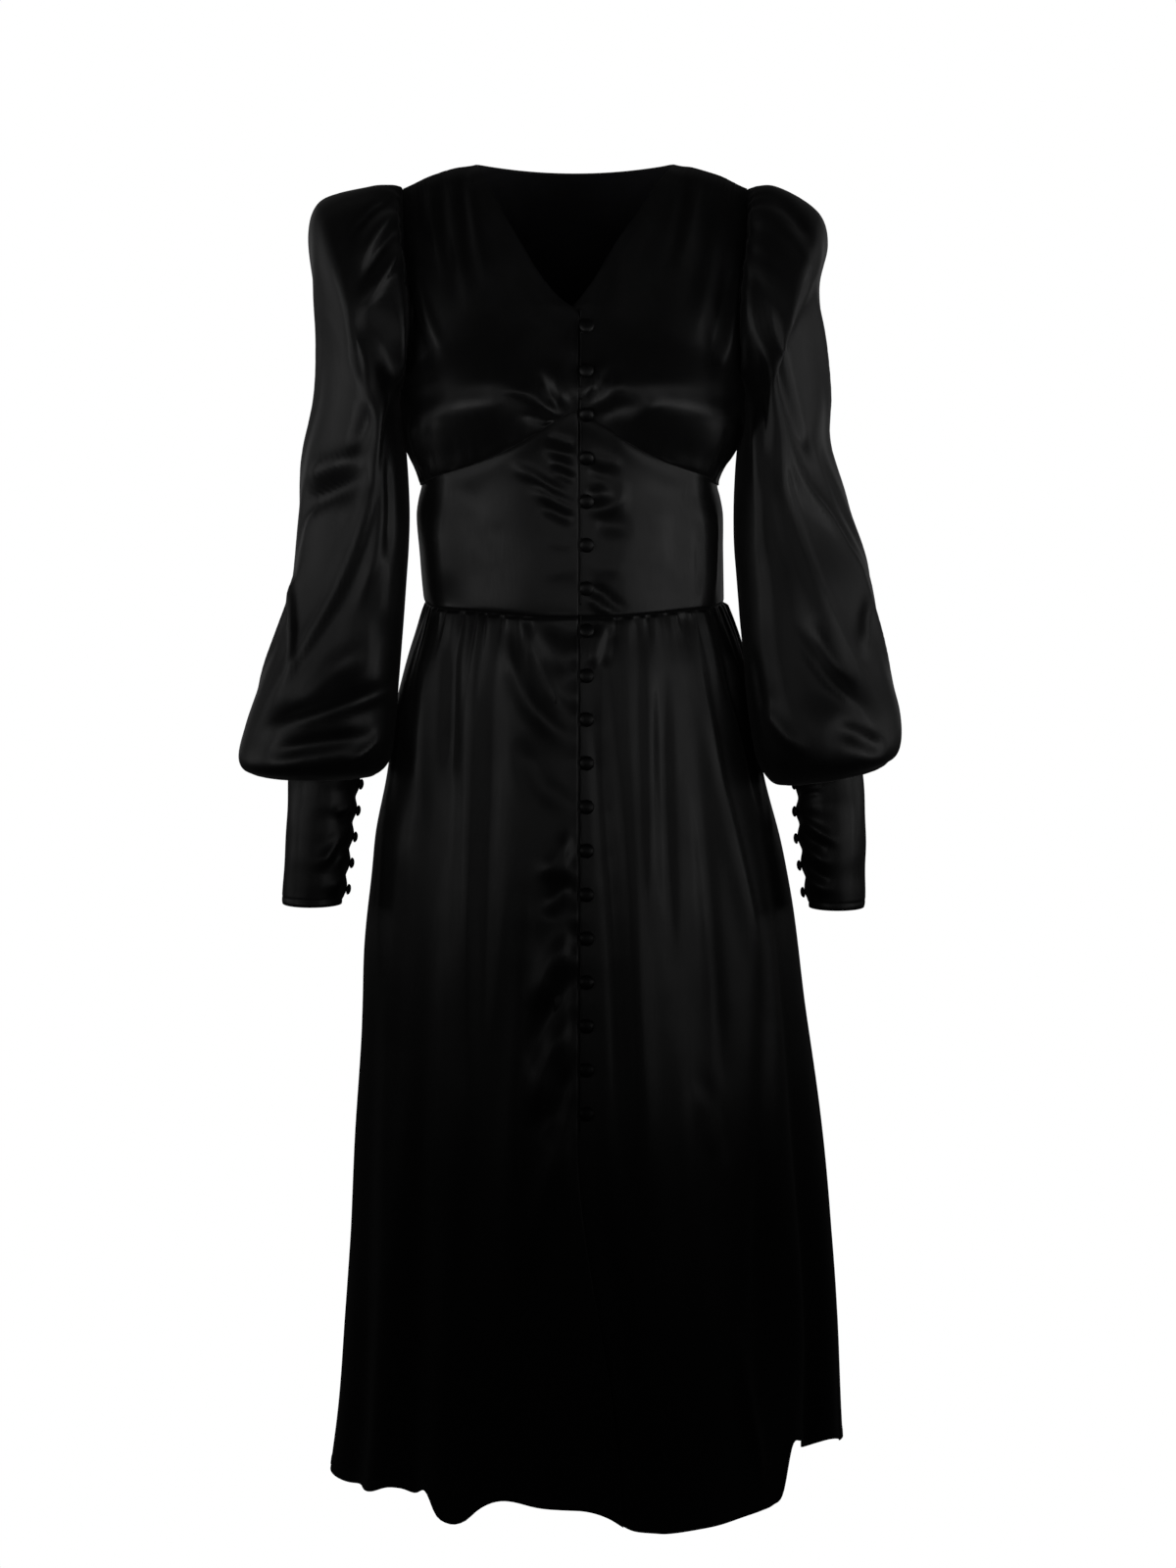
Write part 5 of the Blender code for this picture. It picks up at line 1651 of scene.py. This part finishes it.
# %% Creases of the sleeves
SLEEVE_FRONT_CREASES = {
    "right": rows_of(
        Crease,
        (6.0, 5, 0.2, ((-152, -66), (-160, -84), (-174, -108), (-186, -122))),
        (-5.2, 4.5, 0, ((-152, -54), (-166, -76), (-182, -104))),
        (5.4, 5, 0, ((-152, -40), (-170, -58), (-188, -88))),
        (-4.6, 5, 0, ((-153, -30), (-172, -44), (-192, -68))),
        (4.4, 7, 0.3, ((-154, -82), (-152, -140), (-160, -205), (-172, -268))),
        (-4.6, 13, 0, ((-170, -118), (-180, -150), (-186, -186))),
        (6.0, 8, 0.3, (
            (-160, -190), (-168, -240), (-176, -290), (-195, -345),
            (-220, -392), (-244, -432), (-274, -482),
        )),
        (-3.5, 7, 0, ((-173, -200), (-184, -228), (-194, -248))),
        (4.5, 8, 0, ((-168, -240), (-190, -246), (-212, -256), (-236, -272))),
        (-7.5, 9, 0, ((-166, -262), (-188, -268), (-210, -278), (-238, -296))),
        (3.6, 6, 0, ((-160, -250), (-164, -300), (-172, -340), (-186, -380))),
        (-3.0, 6, 0, ((-152, -230), (-156, -290), (-160, -350))),
        (4.0, 5, 0.3, ((-243, -330), (-240, -376), (-238, -420), (-246, -448))),
        (-6.0, 14, 0, ((-170, -404), (-196, -420), (-222, -442), (-260, -476))),
        (4.6, 8, 0, ((-156, -440), (-184, -450), (-212, -460), (-240, -468), (-270, -482))),
        (-4.0, 8, 0, ((-172, -480), (-200, -484), (-236, -490), (-266, -500))),
        (3.4, 5, 0, ((-166, -474), (-176, -490), (-196, -508))),
        (2.8, 9, 0, ((-156, -308), (-160, -350), (-162, -400))),
    ),
    "left": rows_of(
        Crease,
        (4.8, 6, 0.3, (
            (148, -66), (160, -134), (174, -207), (193, -264),
            (215, -297), (234, -332), (250, -356),
        )),
        (-4.8, 8, 0, (
            (154, -86), (168, -150), (186, -208), (198, -242), (216, -280), (234, -306),
        )),
        (4.2, 7, 0.2, (
            (158, -160), (170, -220), (180, -272), (195, -326),
            (214, -376), (234, -414), (260, -460),
        )),
        (-3.2, 7, 0, ((146, -110), (152, -180), (158, -250))),
        (3.6, 6, 0, ((146, -150), (148, -220), (150, -300))),
        (4.2, 6, 0, ((186, -386), (207, -424), (228, -447), (252, -466))),
        (-3.4, 6, 0, ((196, -380), (216, -414), (238, -442))),
        (-4.2, 9, 0, ((214, -468), (243, -482), (268, -496))),
        (3.8, 6, 0, ((246, -366), (242, -392), (244, -420))),
        (3.2, 7, 0, ((160, -450), (176, -476), (200, -500))),
        (-3.0, 6, 0, ((150, -400), (158, -440), (166, -480))),
        (3.6, 8, 0, ((170, -50), (190, -74), (202, -100))),
        (-3.6, 9, 0, ((160, -26), (186, -44), (204, -70))),
    ),
}
SLEEVE_BACK_CREASES = rows_of(
    Crease,
    (4.2, 8, 0.2, ((156, -70), (166, -130), (180, -196), (198, -256), (222, -310))),
    (-4.0, 8, 0, ((162, -96), (176, -160), (192, -220), (212, -276))),
    (4.4, 8, 0, ((156, -190), (168, -262), (188, -330), (214, -392), (244, -440))),
    (-3.8, 8, 0, ((160, -260), (176, -330), (198, -392), (224, -442))),
    (3.4, 7, 0, ((158, -380), (180, -420), (212, -452), (250, -476))),
    (3.2, 6, 0, ((156, -44), (176, -64), (194, -94))),
    (-3.2, 6, 0, ((156, -58), (172, -84), (186, -114))),
)
SLEEVE_SIDE_CREASES = rows_of(
    Crease,
    (3.0, 10, 0.2, ((-44, -70), (-26, -140), (-2, -215), (14, -280), (30, -340))),
    (-3.2, 11, 0, ((-30, -50), (-6, -110), (14, -180), (36, -240))),
    (2.8, 9, 0, ((14, -46), (32, -110), (44, -190))),
    (-3.0, 10, 0, ((-46, -230), (-28, -300), (-6, -360), (14, -420))),
    (3.0, 9, 0.2, ((-52, -320), (-38, -380), (-18, -430), (4, -470))),
    (-2.6, 8, 0, ((28, -360), (20, -410), (2, -446), (-20, -476))),
    (2.6, 8, 0, ((40, -300), (38, -370), (26, -430), (8, -484))),
)
HEAD_GATHER = Gather(17, 2.6, 18, 3, 0.6)
FOOT_GATHER = Gather(22, 1.2, 9, 3, 0.4)
SLEEVE_SEED = {"right": 1.2, "left": 2.6}
print("creases of a sleeve's front:", {side: len(SLEEVE_FRONT_CREASES[side]) for side in SIGN})

# %% Sleeve form
NEXT_ROW = 0.5  # a sleeve's outward direction comes from points this many rows off
NEXT_TURN = 4.5  # and this many degrees round


def sleeve_ring(side, circle, row):
    """Points on a sleeve's plain section."""
    sign = SIGN[side]
    table = SLEEVE[side]
    place = {name: read(table, name, row) for name in Section._fields[1:]}
    outer = np.stack([sign * place["outer_x"], place["outer_y"], place["outer_z"]], -1)
    inner = np.stack([sign * place["inner_x"], place["inner_y"], place["inner_z"]], -1)
    cosine = np.cos(np.radians(circle))
    sine = np.sin(np.radians(circle))
    deep = np.where(sine > 0, place["front"], place["back"])
    swing = signed_power(cosine, 2 / SLEEVE_ROUND)[:, None]
    points = (outer + inner) / 2 + (outer - inner) / 2 * swing
    points[:, 1] -= deep * signed_power(sine, 2 / SLEEVE_ROUND)
    return points


def armhole_edge(side, circle):
    """Points on the bodice's armhole edge."""
    sign = SIGN[side]
    turn, level = armhole(np.abs(wrapped(circle)))
    facing = np.sin(np.radians(circle)) > 0
    front = form(sign * turn, level, -1)[0]
    back = form(sign * turn, level, 1)[0]
    return np.where(facing[:, None], front, back)


def sleeve_form(side, circle, row):
    """A sleeve's points before its gathers: the armhole's own curve, then the sections."""
    start = sleeve_ring(side, circle, np.zeros_like(row))
    edge = armhole_edge(side, circle) + (SIGN[side] * ARMHOLE_GAP, 0, 0)
    fade = 1 - ease(row, 0, ARMHOLE_FADE)
    return sleeve_ring(side, circle, row) + (edge - start) * fade[:, None]


def sleeve_shape(side):
    """The worn form over a sleeve's cut, from the armhole to the cuff."""

    def shape(across, along):
        circle = 360 * across - 180
        row = SLEEVE_ROWS * along
        low = np.maximum(row - NEXT_ROW, 0)
        high = np.minimum(row + NEXT_ROW, SLEEVE_ROWS)
        down = sleeve_form(side, circle, high) - sleeve_form(side, circle, low)
        ahead = sleeve_form(side, circle + NEXT_TURN, row)
        around = ahead - sleeve_form(side, circle - NEXT_TURN, row)
        return sleeve_form(side, circle, row), SIGN[side] * unit(np.cross(around, down))

    return shape


lengths = {side: SLEEVE[side][0].outer_z - SLEEVE[side][-1].outer_z for side in SIGN}
print("from the shoulder to the cuff:", lengths, "mm")

# %% Sleeves
RowBump = namedtuple("RowBump", "height row width")
PUFF = RowBump(11, 1.7, 1.3)  # the head stands forward
HOLLOW = RowBump(7, 6.5, 2.6)  # and the front falls in below it
FOOT_TUCK = RowBump(5.5, 15.6, 0.9)  # the fullness turns in above the cuff
LEFT_FOOT_TUCK = 3.0  # and more on the left sleeve's outer side
TUBE_CLOSE = 0.6  # how much closer a tube's rows lie at its two ends

grid = GRID["sleeve"]
for side in SIGN:
    columns = np.linspace(0, 1, grid.columns + 1)
    cloth = lattice(columns, steps(grid.rows, TUBE_CLOSE), sleeve_shape(side))
    circle = 360 * cloth.across - 180
    row = SLEEVE_ROWS * cloth.along
    seed = SLEEVE_SEED[side]
    head = 0.5 + circle / (2 * SLEEVE_PUFF_HALF)
    inside = (head > 0) & (head < 1)
    lift = gathers(head, cloth.low, HEAD_GATHER, seed, start=0.12, end=0.12) * inside
    lift += gathers(cloth.across, cloth.high, FOOT_GATHER, seed, start=0.03, end=0.03)
    away = off_edges(cloth, low=9) * ease(cloth.high, 6, 30)
    away = away * ease(cloth.start, 0, 8) * ease(cloth.end, 0, 8)
    lift += creases(cloth, SLEEVE_FRONT_CREASES[side]) * away
    lift += creases(cloth, mirrored(SLEEVE_BACK_CREASES, side), BACK) * away
    lift += drift(cloth.points, sideways=130, upwards=180, seed=seed) * away
    lift += creases(cloth, SLEEVE_SIDE_CREASES, SIDE[side]) * away
    outer = np.clip(np.cos(np.radians(circle)), 0, 1)
    inner = np.clip(-np.cos(np.radians(circle)), 0, 1)
    front = np.clip(np.sin(np.radians(circle)), 0, 1)
    lift += outer * read(SLEEVE_SWELL, side, row) + inner * read(SLEEVE_SWELL, "inner", row)
    puff = PUFF.height * bump(row, PUFF.row, PUFF.width)
    hollow = HOLLOW.height * bump(row, HOLLOW.row, HOLLOW.width)
    lift += front * (puff - hollow) * ease(cloth.low, 0, 9)
    tuck = FOOT_TUCK.height + LEFT_FOOT_TUCK * outer * (side == "left")
    lift -= tuck * bump(row, FOOT_TUCK.row, FOOT_TUCK.width)
    edges = roll(cloth.low) + roll(cloth.high) + roll(cloth.start, deep=0.6, wide=1.5)
    lift += edges + roll(cloth.end, deep=0.6, wide=1.5)
    sew("sleeve_" + side, "sleeve", cloth, lift, tube=True)

# %% [markdown]
# ## Cuffs
#
# The deep cuffs close on the inner side of the wrist with five small buttons. The cloth is
# drawn in there, so it ruches, and slanting wrinkles run from the buttons across the front. A
# cone would be the quick way to make one, but it has neither. Like the sleeve, the cuff is rings
# on a lattice, which can ruche between its buttons and flare at the front of its lower edge.

# %% Cuffs
CUFF_CREASES = {
    "right": rows_of(
        Crease,
        (2.0, 4, 0, ((-198, -566), (-206, -576), (-216, -590), (-220, -602))),
        (-2.0, 3.5, 0, ((-198, -576), (-206, -586), (-212, -600))),
        (1.4, 3.5, 0, ((-192, -544), (-200, -550), (-206, -548))),
        (-1.4, 3, 0, ((-192, -551), (-199, -556), (-206, -556))),
        (1.2, 4, 0, ((-200, -600), (-208, -612), (-212, -622))),
        (0.9, 9, 0, ((-236, -530), (-234, -570), (-240, -610))),
    ),
    "left": rows_of(
        Crease,
        (2.2, 4, 0, ((194, -556), (204, -562), (216, -571), (224, -580))),
        (-2.0, 3.5, 0, ((194, -568), (204, -573), (216, -582))),
        (2.0, 4, 0, ((196, -579), (208, -586), (220, -598))),
        (-2.0, 3.5, 0, ((198, -592), (208, -600), (220, -610))),
        (1.6, 4, 0, ((200, -604), (210, -612), (222, -620))),
        (1.4, 3.5, 0, ((192, -538), (206, -534), (216, -535))),
        (1.0, 9, 0, ((238, -530), (240, -570), (236, -612))),
    ),
}
CUFF_BACK_CREASES = rows_of(
    Crease,
    (1.8, 4, 0, ((198, -560), (208, -568), (220, -580))),
    (-1.6, 3.5, 0, ((198, -572), (208, -579), (220, -590))),
    (1.6, 4, 0, ((200, -588), (210, -597), (222, -606))),
)
CUFF_FLARE = 15.0  # how far the front of the lower edge stands off
CUFF_TURNING = 6.0  # the cuff's lower edge is turned and stitched this far above it
CUFF_GROOVE = 0.35
RUCHE_HEIGHT = 1.3
RUCHE_SPREAD = 62.0  # degrees from the inner side
RUCHE_SLANT = 9  # the wrinkles climb this much to the front and the back
RUCHE_WAVER = 2.0


def cuff_surface(side, circle, level):
    """(points, outward) on a cuff: 0 is its outer side, 90 the front, 180 the inner side."""
    sign = SIGN[side]
    outer = read(CUFF[side], "outer", level)
    inner = read(CUFF[side], "inner", level)
    radius = (outer - inner) / 2
    cosine = np.cos(np.radians(circle))
    sine = np.sin(np.radians(circle))
    outward = np.stack([sign * cosine, -sine, 0 * cosine], -1)
    centre = np.stack([sign * (outer + inner) / 2, 0 * radius + CUFF_Y, level], -1)
    near = bump(circle % 360, 180, RUCHE_SPREAD)
    top = CUFF[side][0].level
    bottom = CUFF[side][-1].level
    slant = RUCHE_SLANT * sine + RUCHE_WAVER * np.sin(np.radians(3 * circle))
    ruche = np.cos(2 * math.pi * CUFF_BUTTONS * (level - slant - top) / (bottom - top))
    return centre + outward * (radius - RUCHE_HEIGHT * near * ruche)[..., None], outward


def cuff_shape(side):
    """The worn form over a cuff's cut, from the sleeve to the wrist."""

    def shape(across, along):
        level = mix(CUFF[side][0].level - SEAM, CUFF[side][-1].level, along)
        return cuff_surface(side, 360 * across, level)

    return shape


grid = GRID["cuff"]
for side in SIGN:
    columns = np.linspace(0, 1, grid.columns + 1)
    cloth = lattice(columns, steps(grid.rows, TUBE_CLOSE), cuff_shape(side))
    away = off_edges(cloth, low=6, high=8)
    lift = creases(cloth, CUFF_CREASES[side]) * away
    lift += creases(cloth, mirrored(CUFF_BACK_CREASES, side), BACK) * away
    lift += 0.4 * drift(cloth.points, sideways=70, upwards=60, seed=1.0) * away
    lift += CUFF_FLARE * cloth.along * np.clip(np.sin(2 * math.pi * cloth.across), 0, 1) ** 2
    edges = roll(cloth.low) + roll(cloth.high, deep=0.6, wide=1.2)
    lift += edges - CUFF_GROOVE * bump(cloth.high, CUFF_TURNING, 1.0)
    sew("cuff_" + side, "cuff", cloth, lift, tube=True)

# %% [markdown]
# ## Covered buttons
#
# The buttons are small domes covered in the same satin: the cloth is drawn over the top and
# pleated under the rim. A squashed ball would have neither rim nor neck, so half the outline is
# spun once round, and its lower part is waved into pleats. Each button takes its axis and its
# size from the frame's own, and stands on the folded cloth that a ray finds under it.

# %% Cloth as one surface to sew on
RAY_START = 0.04  # metres off the form: outside every fold, where the search begins


def worn_tree(names):
    """The outer surfaces of some pieces, as one tree for finding the cloth under a point."""
    corners = []
    faces = []
    for name in names:
        mesh = cloth_pieces[name].data
        start = len(corners)
        corners += [vert.co.copy() for vert in mesh.vertices]
        faces += [[start + index for index in face.vertices] for face in mesh.polygons]
    return BVHTree.FromPolygons(corners, faces)


def on_cloth(tree, point, outward, above):
    """The place above the cloth where a line from outside meets it, all in metres."""
    outward = Vector(outward).normalized()
    hit = tree.ray_cast(Vector(point) + outward * RAY_START, -outward)
    if hit[0] is None:
        return Vector(point)
    return hit[0] + outward * above


FRONTS = [part + side for part in ("bodice_front_", "midriff_", "skirt_front_") for side in SIDE]
front_tree = worn_tree(FRONTS)
cuff_tree = worn_tree(["cuff_" + side for side in SIDE])
print("cloth to sew on:", FRONTS)

# %% Covered buttons
BUTTON_STEPS = 40
DOME_STEPS = 12
DOME_END = 1.75  # radians from the crown: a little past the widest place
DOME_BASE = 0.52  # height of the widest place, as a share of the button's
DOME_TALL = 0.48
RIM = (0.72, 0.34)  # shares of the radius and of the height
NECK = (0.42, 0.26)
FOOT_SUNK = 0.3  # the neck's foot is this far inside the cloth
RIM_PLEATS = 13
PLEAT_DEEP = 0.05
PLEAT_FADE = (0.35, 0.75)  # shares of the height between which the pleats end
PLEAT_INNER = 0.5  # share of the radius inside which the neck stays round


def button_profile(radius, height):
    """Half outline of a covered button, from its crown to the foot of its neck."""
    neck = NECK[0] * radius
    dome = [
        (radius * math.sin(turn), height * (DOME_BASE + DOME_TALL * math.cos(turn)))
        for turn in np.linspace(0, DOME_END, DOME_STEPS)
    ]
    under = [(RIM[0] * radius, RIM[1] * height), (neck, NECK[1] * height)]
    return [*dome, *under, (neck, 0.0), (0.0, 0.0)]


def button_piece(node, rough_outward, tree):
    """A fine button on the axis of the frame's own, with its foot on the folded cloth."""
    corners = np.array([vert.co[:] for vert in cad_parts[node].data.vertices])
    middle = corners.mean(0)
    directions = np.linalg.eigh(np.cov((corners - middle).T))[1]
    axis = directions[:, 0]  # the one in which the frame's button is thinnest
    if axis @ np.array(rough_outward) < 0:
        axis = -axis
    heights = (corners - middle) @ axis
    foot = on_cloth(tree, middle + axis * heights.min(), axis, -FOOT_SUNK * MM)
    height = heights.max() - heights.min()
    radius = np.linalg.norm((corners - middle) - heights[:, None] * axis, axis=1).max()
    bm = bmesh.new()
    ring = [bm.verts.new((x, 0, z)) for x, z in button_profile(radius, height)]
    edges = [bm.edges.new(pair) for pair in zip(ring, ring[1:])]
    bmesh.ops.spin(
        bm,
        geom=ring + edges,
        cent=(0, 0, 0),
        axis=(0, 0, 1),
        angle=2 * math.pi,
        steps=BUTTON_STEPS,
        use_merge=True,
    )
    bmesh.ops.remove_doubles(bm, verts=bm.verts[:], dist=TINY)
    for vert in bm.verts:
        pleat = math.cos(RIM_PLEATS * math.atan2(vert.co.y, vert.co.x))
        low = 1 - ease(vert.co.z / height, *PLEAT_FADE)
        outside = math.hypot(*vert.co.xy) > PLEAT_INNER * radius
        out = 1 + PLEAT_DEEP * low * pleat * outside
        vert.co.x *= out
        vert.co.y *= out
    bmesh.ops.recalc_face_normals(bm, faces=bm.faces[:])
    turned = Vector(axis).to_track_quat("Z", "Y").to_matrix().to_4x4()
    bmesh.ops.transform(bm, matrix=Matrix.Translation(foot) @ turned, verts=bm.verts[:])
    piece = add_piece(node + "_cover", bm, covered)
    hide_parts(node)


for number in range(1, BUTTON_COUNT + 1):
    button_piece(f"button_{number:02d}", (0, -1, 0), front_tree)
for side in SIGN:
    for number in range(1, CUFF_BUTTONS + 1):
        button_piece(f"cuff_button_{side}_{number}", (-SIGN[side], 0, 0), cuff_tree)
print("buttons:", BUTTON_COUNT + 2 * CUFF_BUTTONS)

# %% [markdown]
# ## Looping
#
# The looping is one thin cord sewn along the right front's edge, which runs out round the neck of
# each button. Separate rings would be simpler, but they would end in the cloth, and the cord runs
# on from one button to the next. So the same few steps are taken at each button, a smooth curve
# goes through them all, and it is laid on the cloth, made round, and turned into a mesh. There
# are three lengths, one for each strip of the frame's.

# %% Looping
CORD = 1.5
CORD_CLEAR = 0.1  # between the cord and the cloth
CORD_SPACING = 1.6
SMOOTHING = (0.1, 0.2, 0.4, 0.2, 0.1)  # shares of five neighbours, so the cord bridges dents
LoopStep = namedtuple("LoopStep", "left up")
LOOP_STEPS = rows_of(
    LoopStep,
    (-5.2, 14.0),
    (-5.4, 8.6),
    (-5.2, 5.2),
    (-2.6, 4.4),
    (0.6, 4.4),
    (3.9, 2.6),
    (4.4, 0.0),
    (3.9, -2.6),
    (0.6, -4.4),
    (-2.6, -4.4),
    (-5.2, -5.2),
    (-5.4, -8.6),
    (-5.2, -14.0),
)


def tube(name, route, thick, material):
    """A round cord along a route, as a mesh in place."""
    curve = bpy.data.curves.new(name, "CURVE")
    curve.dimensions = "3D"
    curve.bevel_depth = thick / 2 * MM
    curve.bevel_resolution = 3
    curve.use_fill_caps = True
    spline = curve.splines.new("POLY")
    spline.points.add(len(route) - 1)
    for spline_point, point in zip(spline.points, route):
        spline_point.co = (*point, 1)
    helper = bpy.data.objects.new(name + "_line", curve)
    scene.collection.objects.link(helper)
    bpy.context.view_layer.update()
    bm = bmesh.new()
    bm.from_mesh(helper.to_mesh())
    helper.to_mesh_clear()
    bpy.data.objects.remove(helper)
    bmesh.ops.remove_doubles(bm, verts=bm.verts[:], dist=TINY)
    bmesh.ops.recalc_face_normals(bm, faces=bm.faces[:])
    return add_piece(name, bm, material)


def cord_route(first, last):
    """The cord's middle line on the cloth, round the buttons from first to before last."""
    corners = []
    for number in range(first, last):
        level = FIRST_BUTTON - BUTTON_PITCH * number
        for step in LOOP_STEPS:
            corners.append((BUTTON_OFFSET + step.left, level + step.up))
    line = smooth_line(corners, CORD_SPACING)
    points, outward = form(turn_at(line[:, 0], line[:, 1]), line[:, 1], -1)
    above = (CORD / 2 + CORD_CLEAR) * MM
    laid = [on_cloth(front_tree, point * MM, way, above) for point, way in zip(points, outward)]
    route = np.array([[*point] for point in laid])
    padded = np.pad(route[:, 1], len(SMOOTHING) // 2, mode="edge")
    route[:, 1] = np.minimum(route[:, 1], np.convolve(padded, np.array(SMOOTHING), "valid"))
    return route


strips = (("loops_bodice", 0, 2), ("loops_midriff", 2, 7), ("loops_skirt", 7, BUTTON_COUNT))
for name, first, last in strips:
    cord_piece = tube(name + "_cord", cord_route(first, last), CORD, looping)
    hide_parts(name)
print("looping strips:", len(strips))

# %% [markdown]
# ## Hem stitches
#
# The hem is turned up and stitched 9 mm above its edge, with stitches a few millimetres long. A
# drawn line would look flat close by, and a cord would look unbroken. So each stitch is a coarse
# ball, stretched along its way and a little sunk in the groove, and all those of a piece are
# one mesh.

# %% Hem stitches
STITCH = 2.4
STITCH_GAP = 1.0
STITCH_THICK = 0.35
STITCH_RAISED = 0.3  # share of its thickness by which its middle stands above the cloth
ROUTE_START = 2.0
ROUTE_END = 3.0


def stitch_line(name, route, outward):
    """Stitches laid end to end along a route on the cloth, in metres."""
    route = np.array(route)
    outward = np.array(outward)
    length = np.concatenate([[0], np.cumsum(np.linalg.norm(np.diff(route, axis=0), axis=1))])
    starts = np.arange(ROUTE_START * MM, length[-1] - ROUTE_END * MM, (STITCH + STITCH_GAP) * MM)
    bm = bmesh.new()

    def at(distance, values):
        """The route's place or direction, this far along it."""
        return Vector([np.interp(distance, length, values[:, axis]) for axis in range(3)])

    for start in starts:
        head = at(start, route)
        tail = at(start + STITCH * MM, route)
        out = at(start, outward).normalized()
        way = (tail - head).normalized()
        side = out.cross(way).normalized()
        frame_axes = Matrix((way, side, out)).transposed().to_4x4()
        size = Matrix.Diagonal((STITCH / 2 * MM, STITCH_THICK / 2 * MM, STITCH_THICK / 2 * MM, 1))
        place = Matrix.Translation((head + tail) / 2) @ frame_axes @ size
        bmesh.ops.create_icosphere(bm, subdivisions=1, radius=1.0, matrix=place)
    bmesh.ops.recalc_face_normals(bm, faces=bm.faces[:])
    add_piece(name, bm, thread)
    print(name, len(starts), "stitches")


hems = (
    ("skirt_front_right", "skirt_front"),
    ("skirt_front_left", "skirt_front"),
    ("skirt_back", "skirt_back"),
)
for node, kind in hems:
    vertices = cloth_pieces[node].data.vertices
    crossings = (GRID[kind].rows + 1, GRID[kind].columns + 1, 3)
    points = np.array([vert.co[:] for vert in vertices]).reshape(crossings)
    normals = np.array([vert.normal[:] for vert in vertices]).reshape(crossings)
    from_edge = np.linalg.norm(points - points[-1:], axis=-1)
    row = np.argmin(np.abs(from_edge - HEM_TURNING * MM), axis=0)
    column = np.arange(GRID[kind].columns + 1)
    line = points[row, column] + normals[row, column] * STITCH_THICK * STITCH_RAISED * MM
    stitch_line(node + "_hem_stitches", line, normals[row, column])
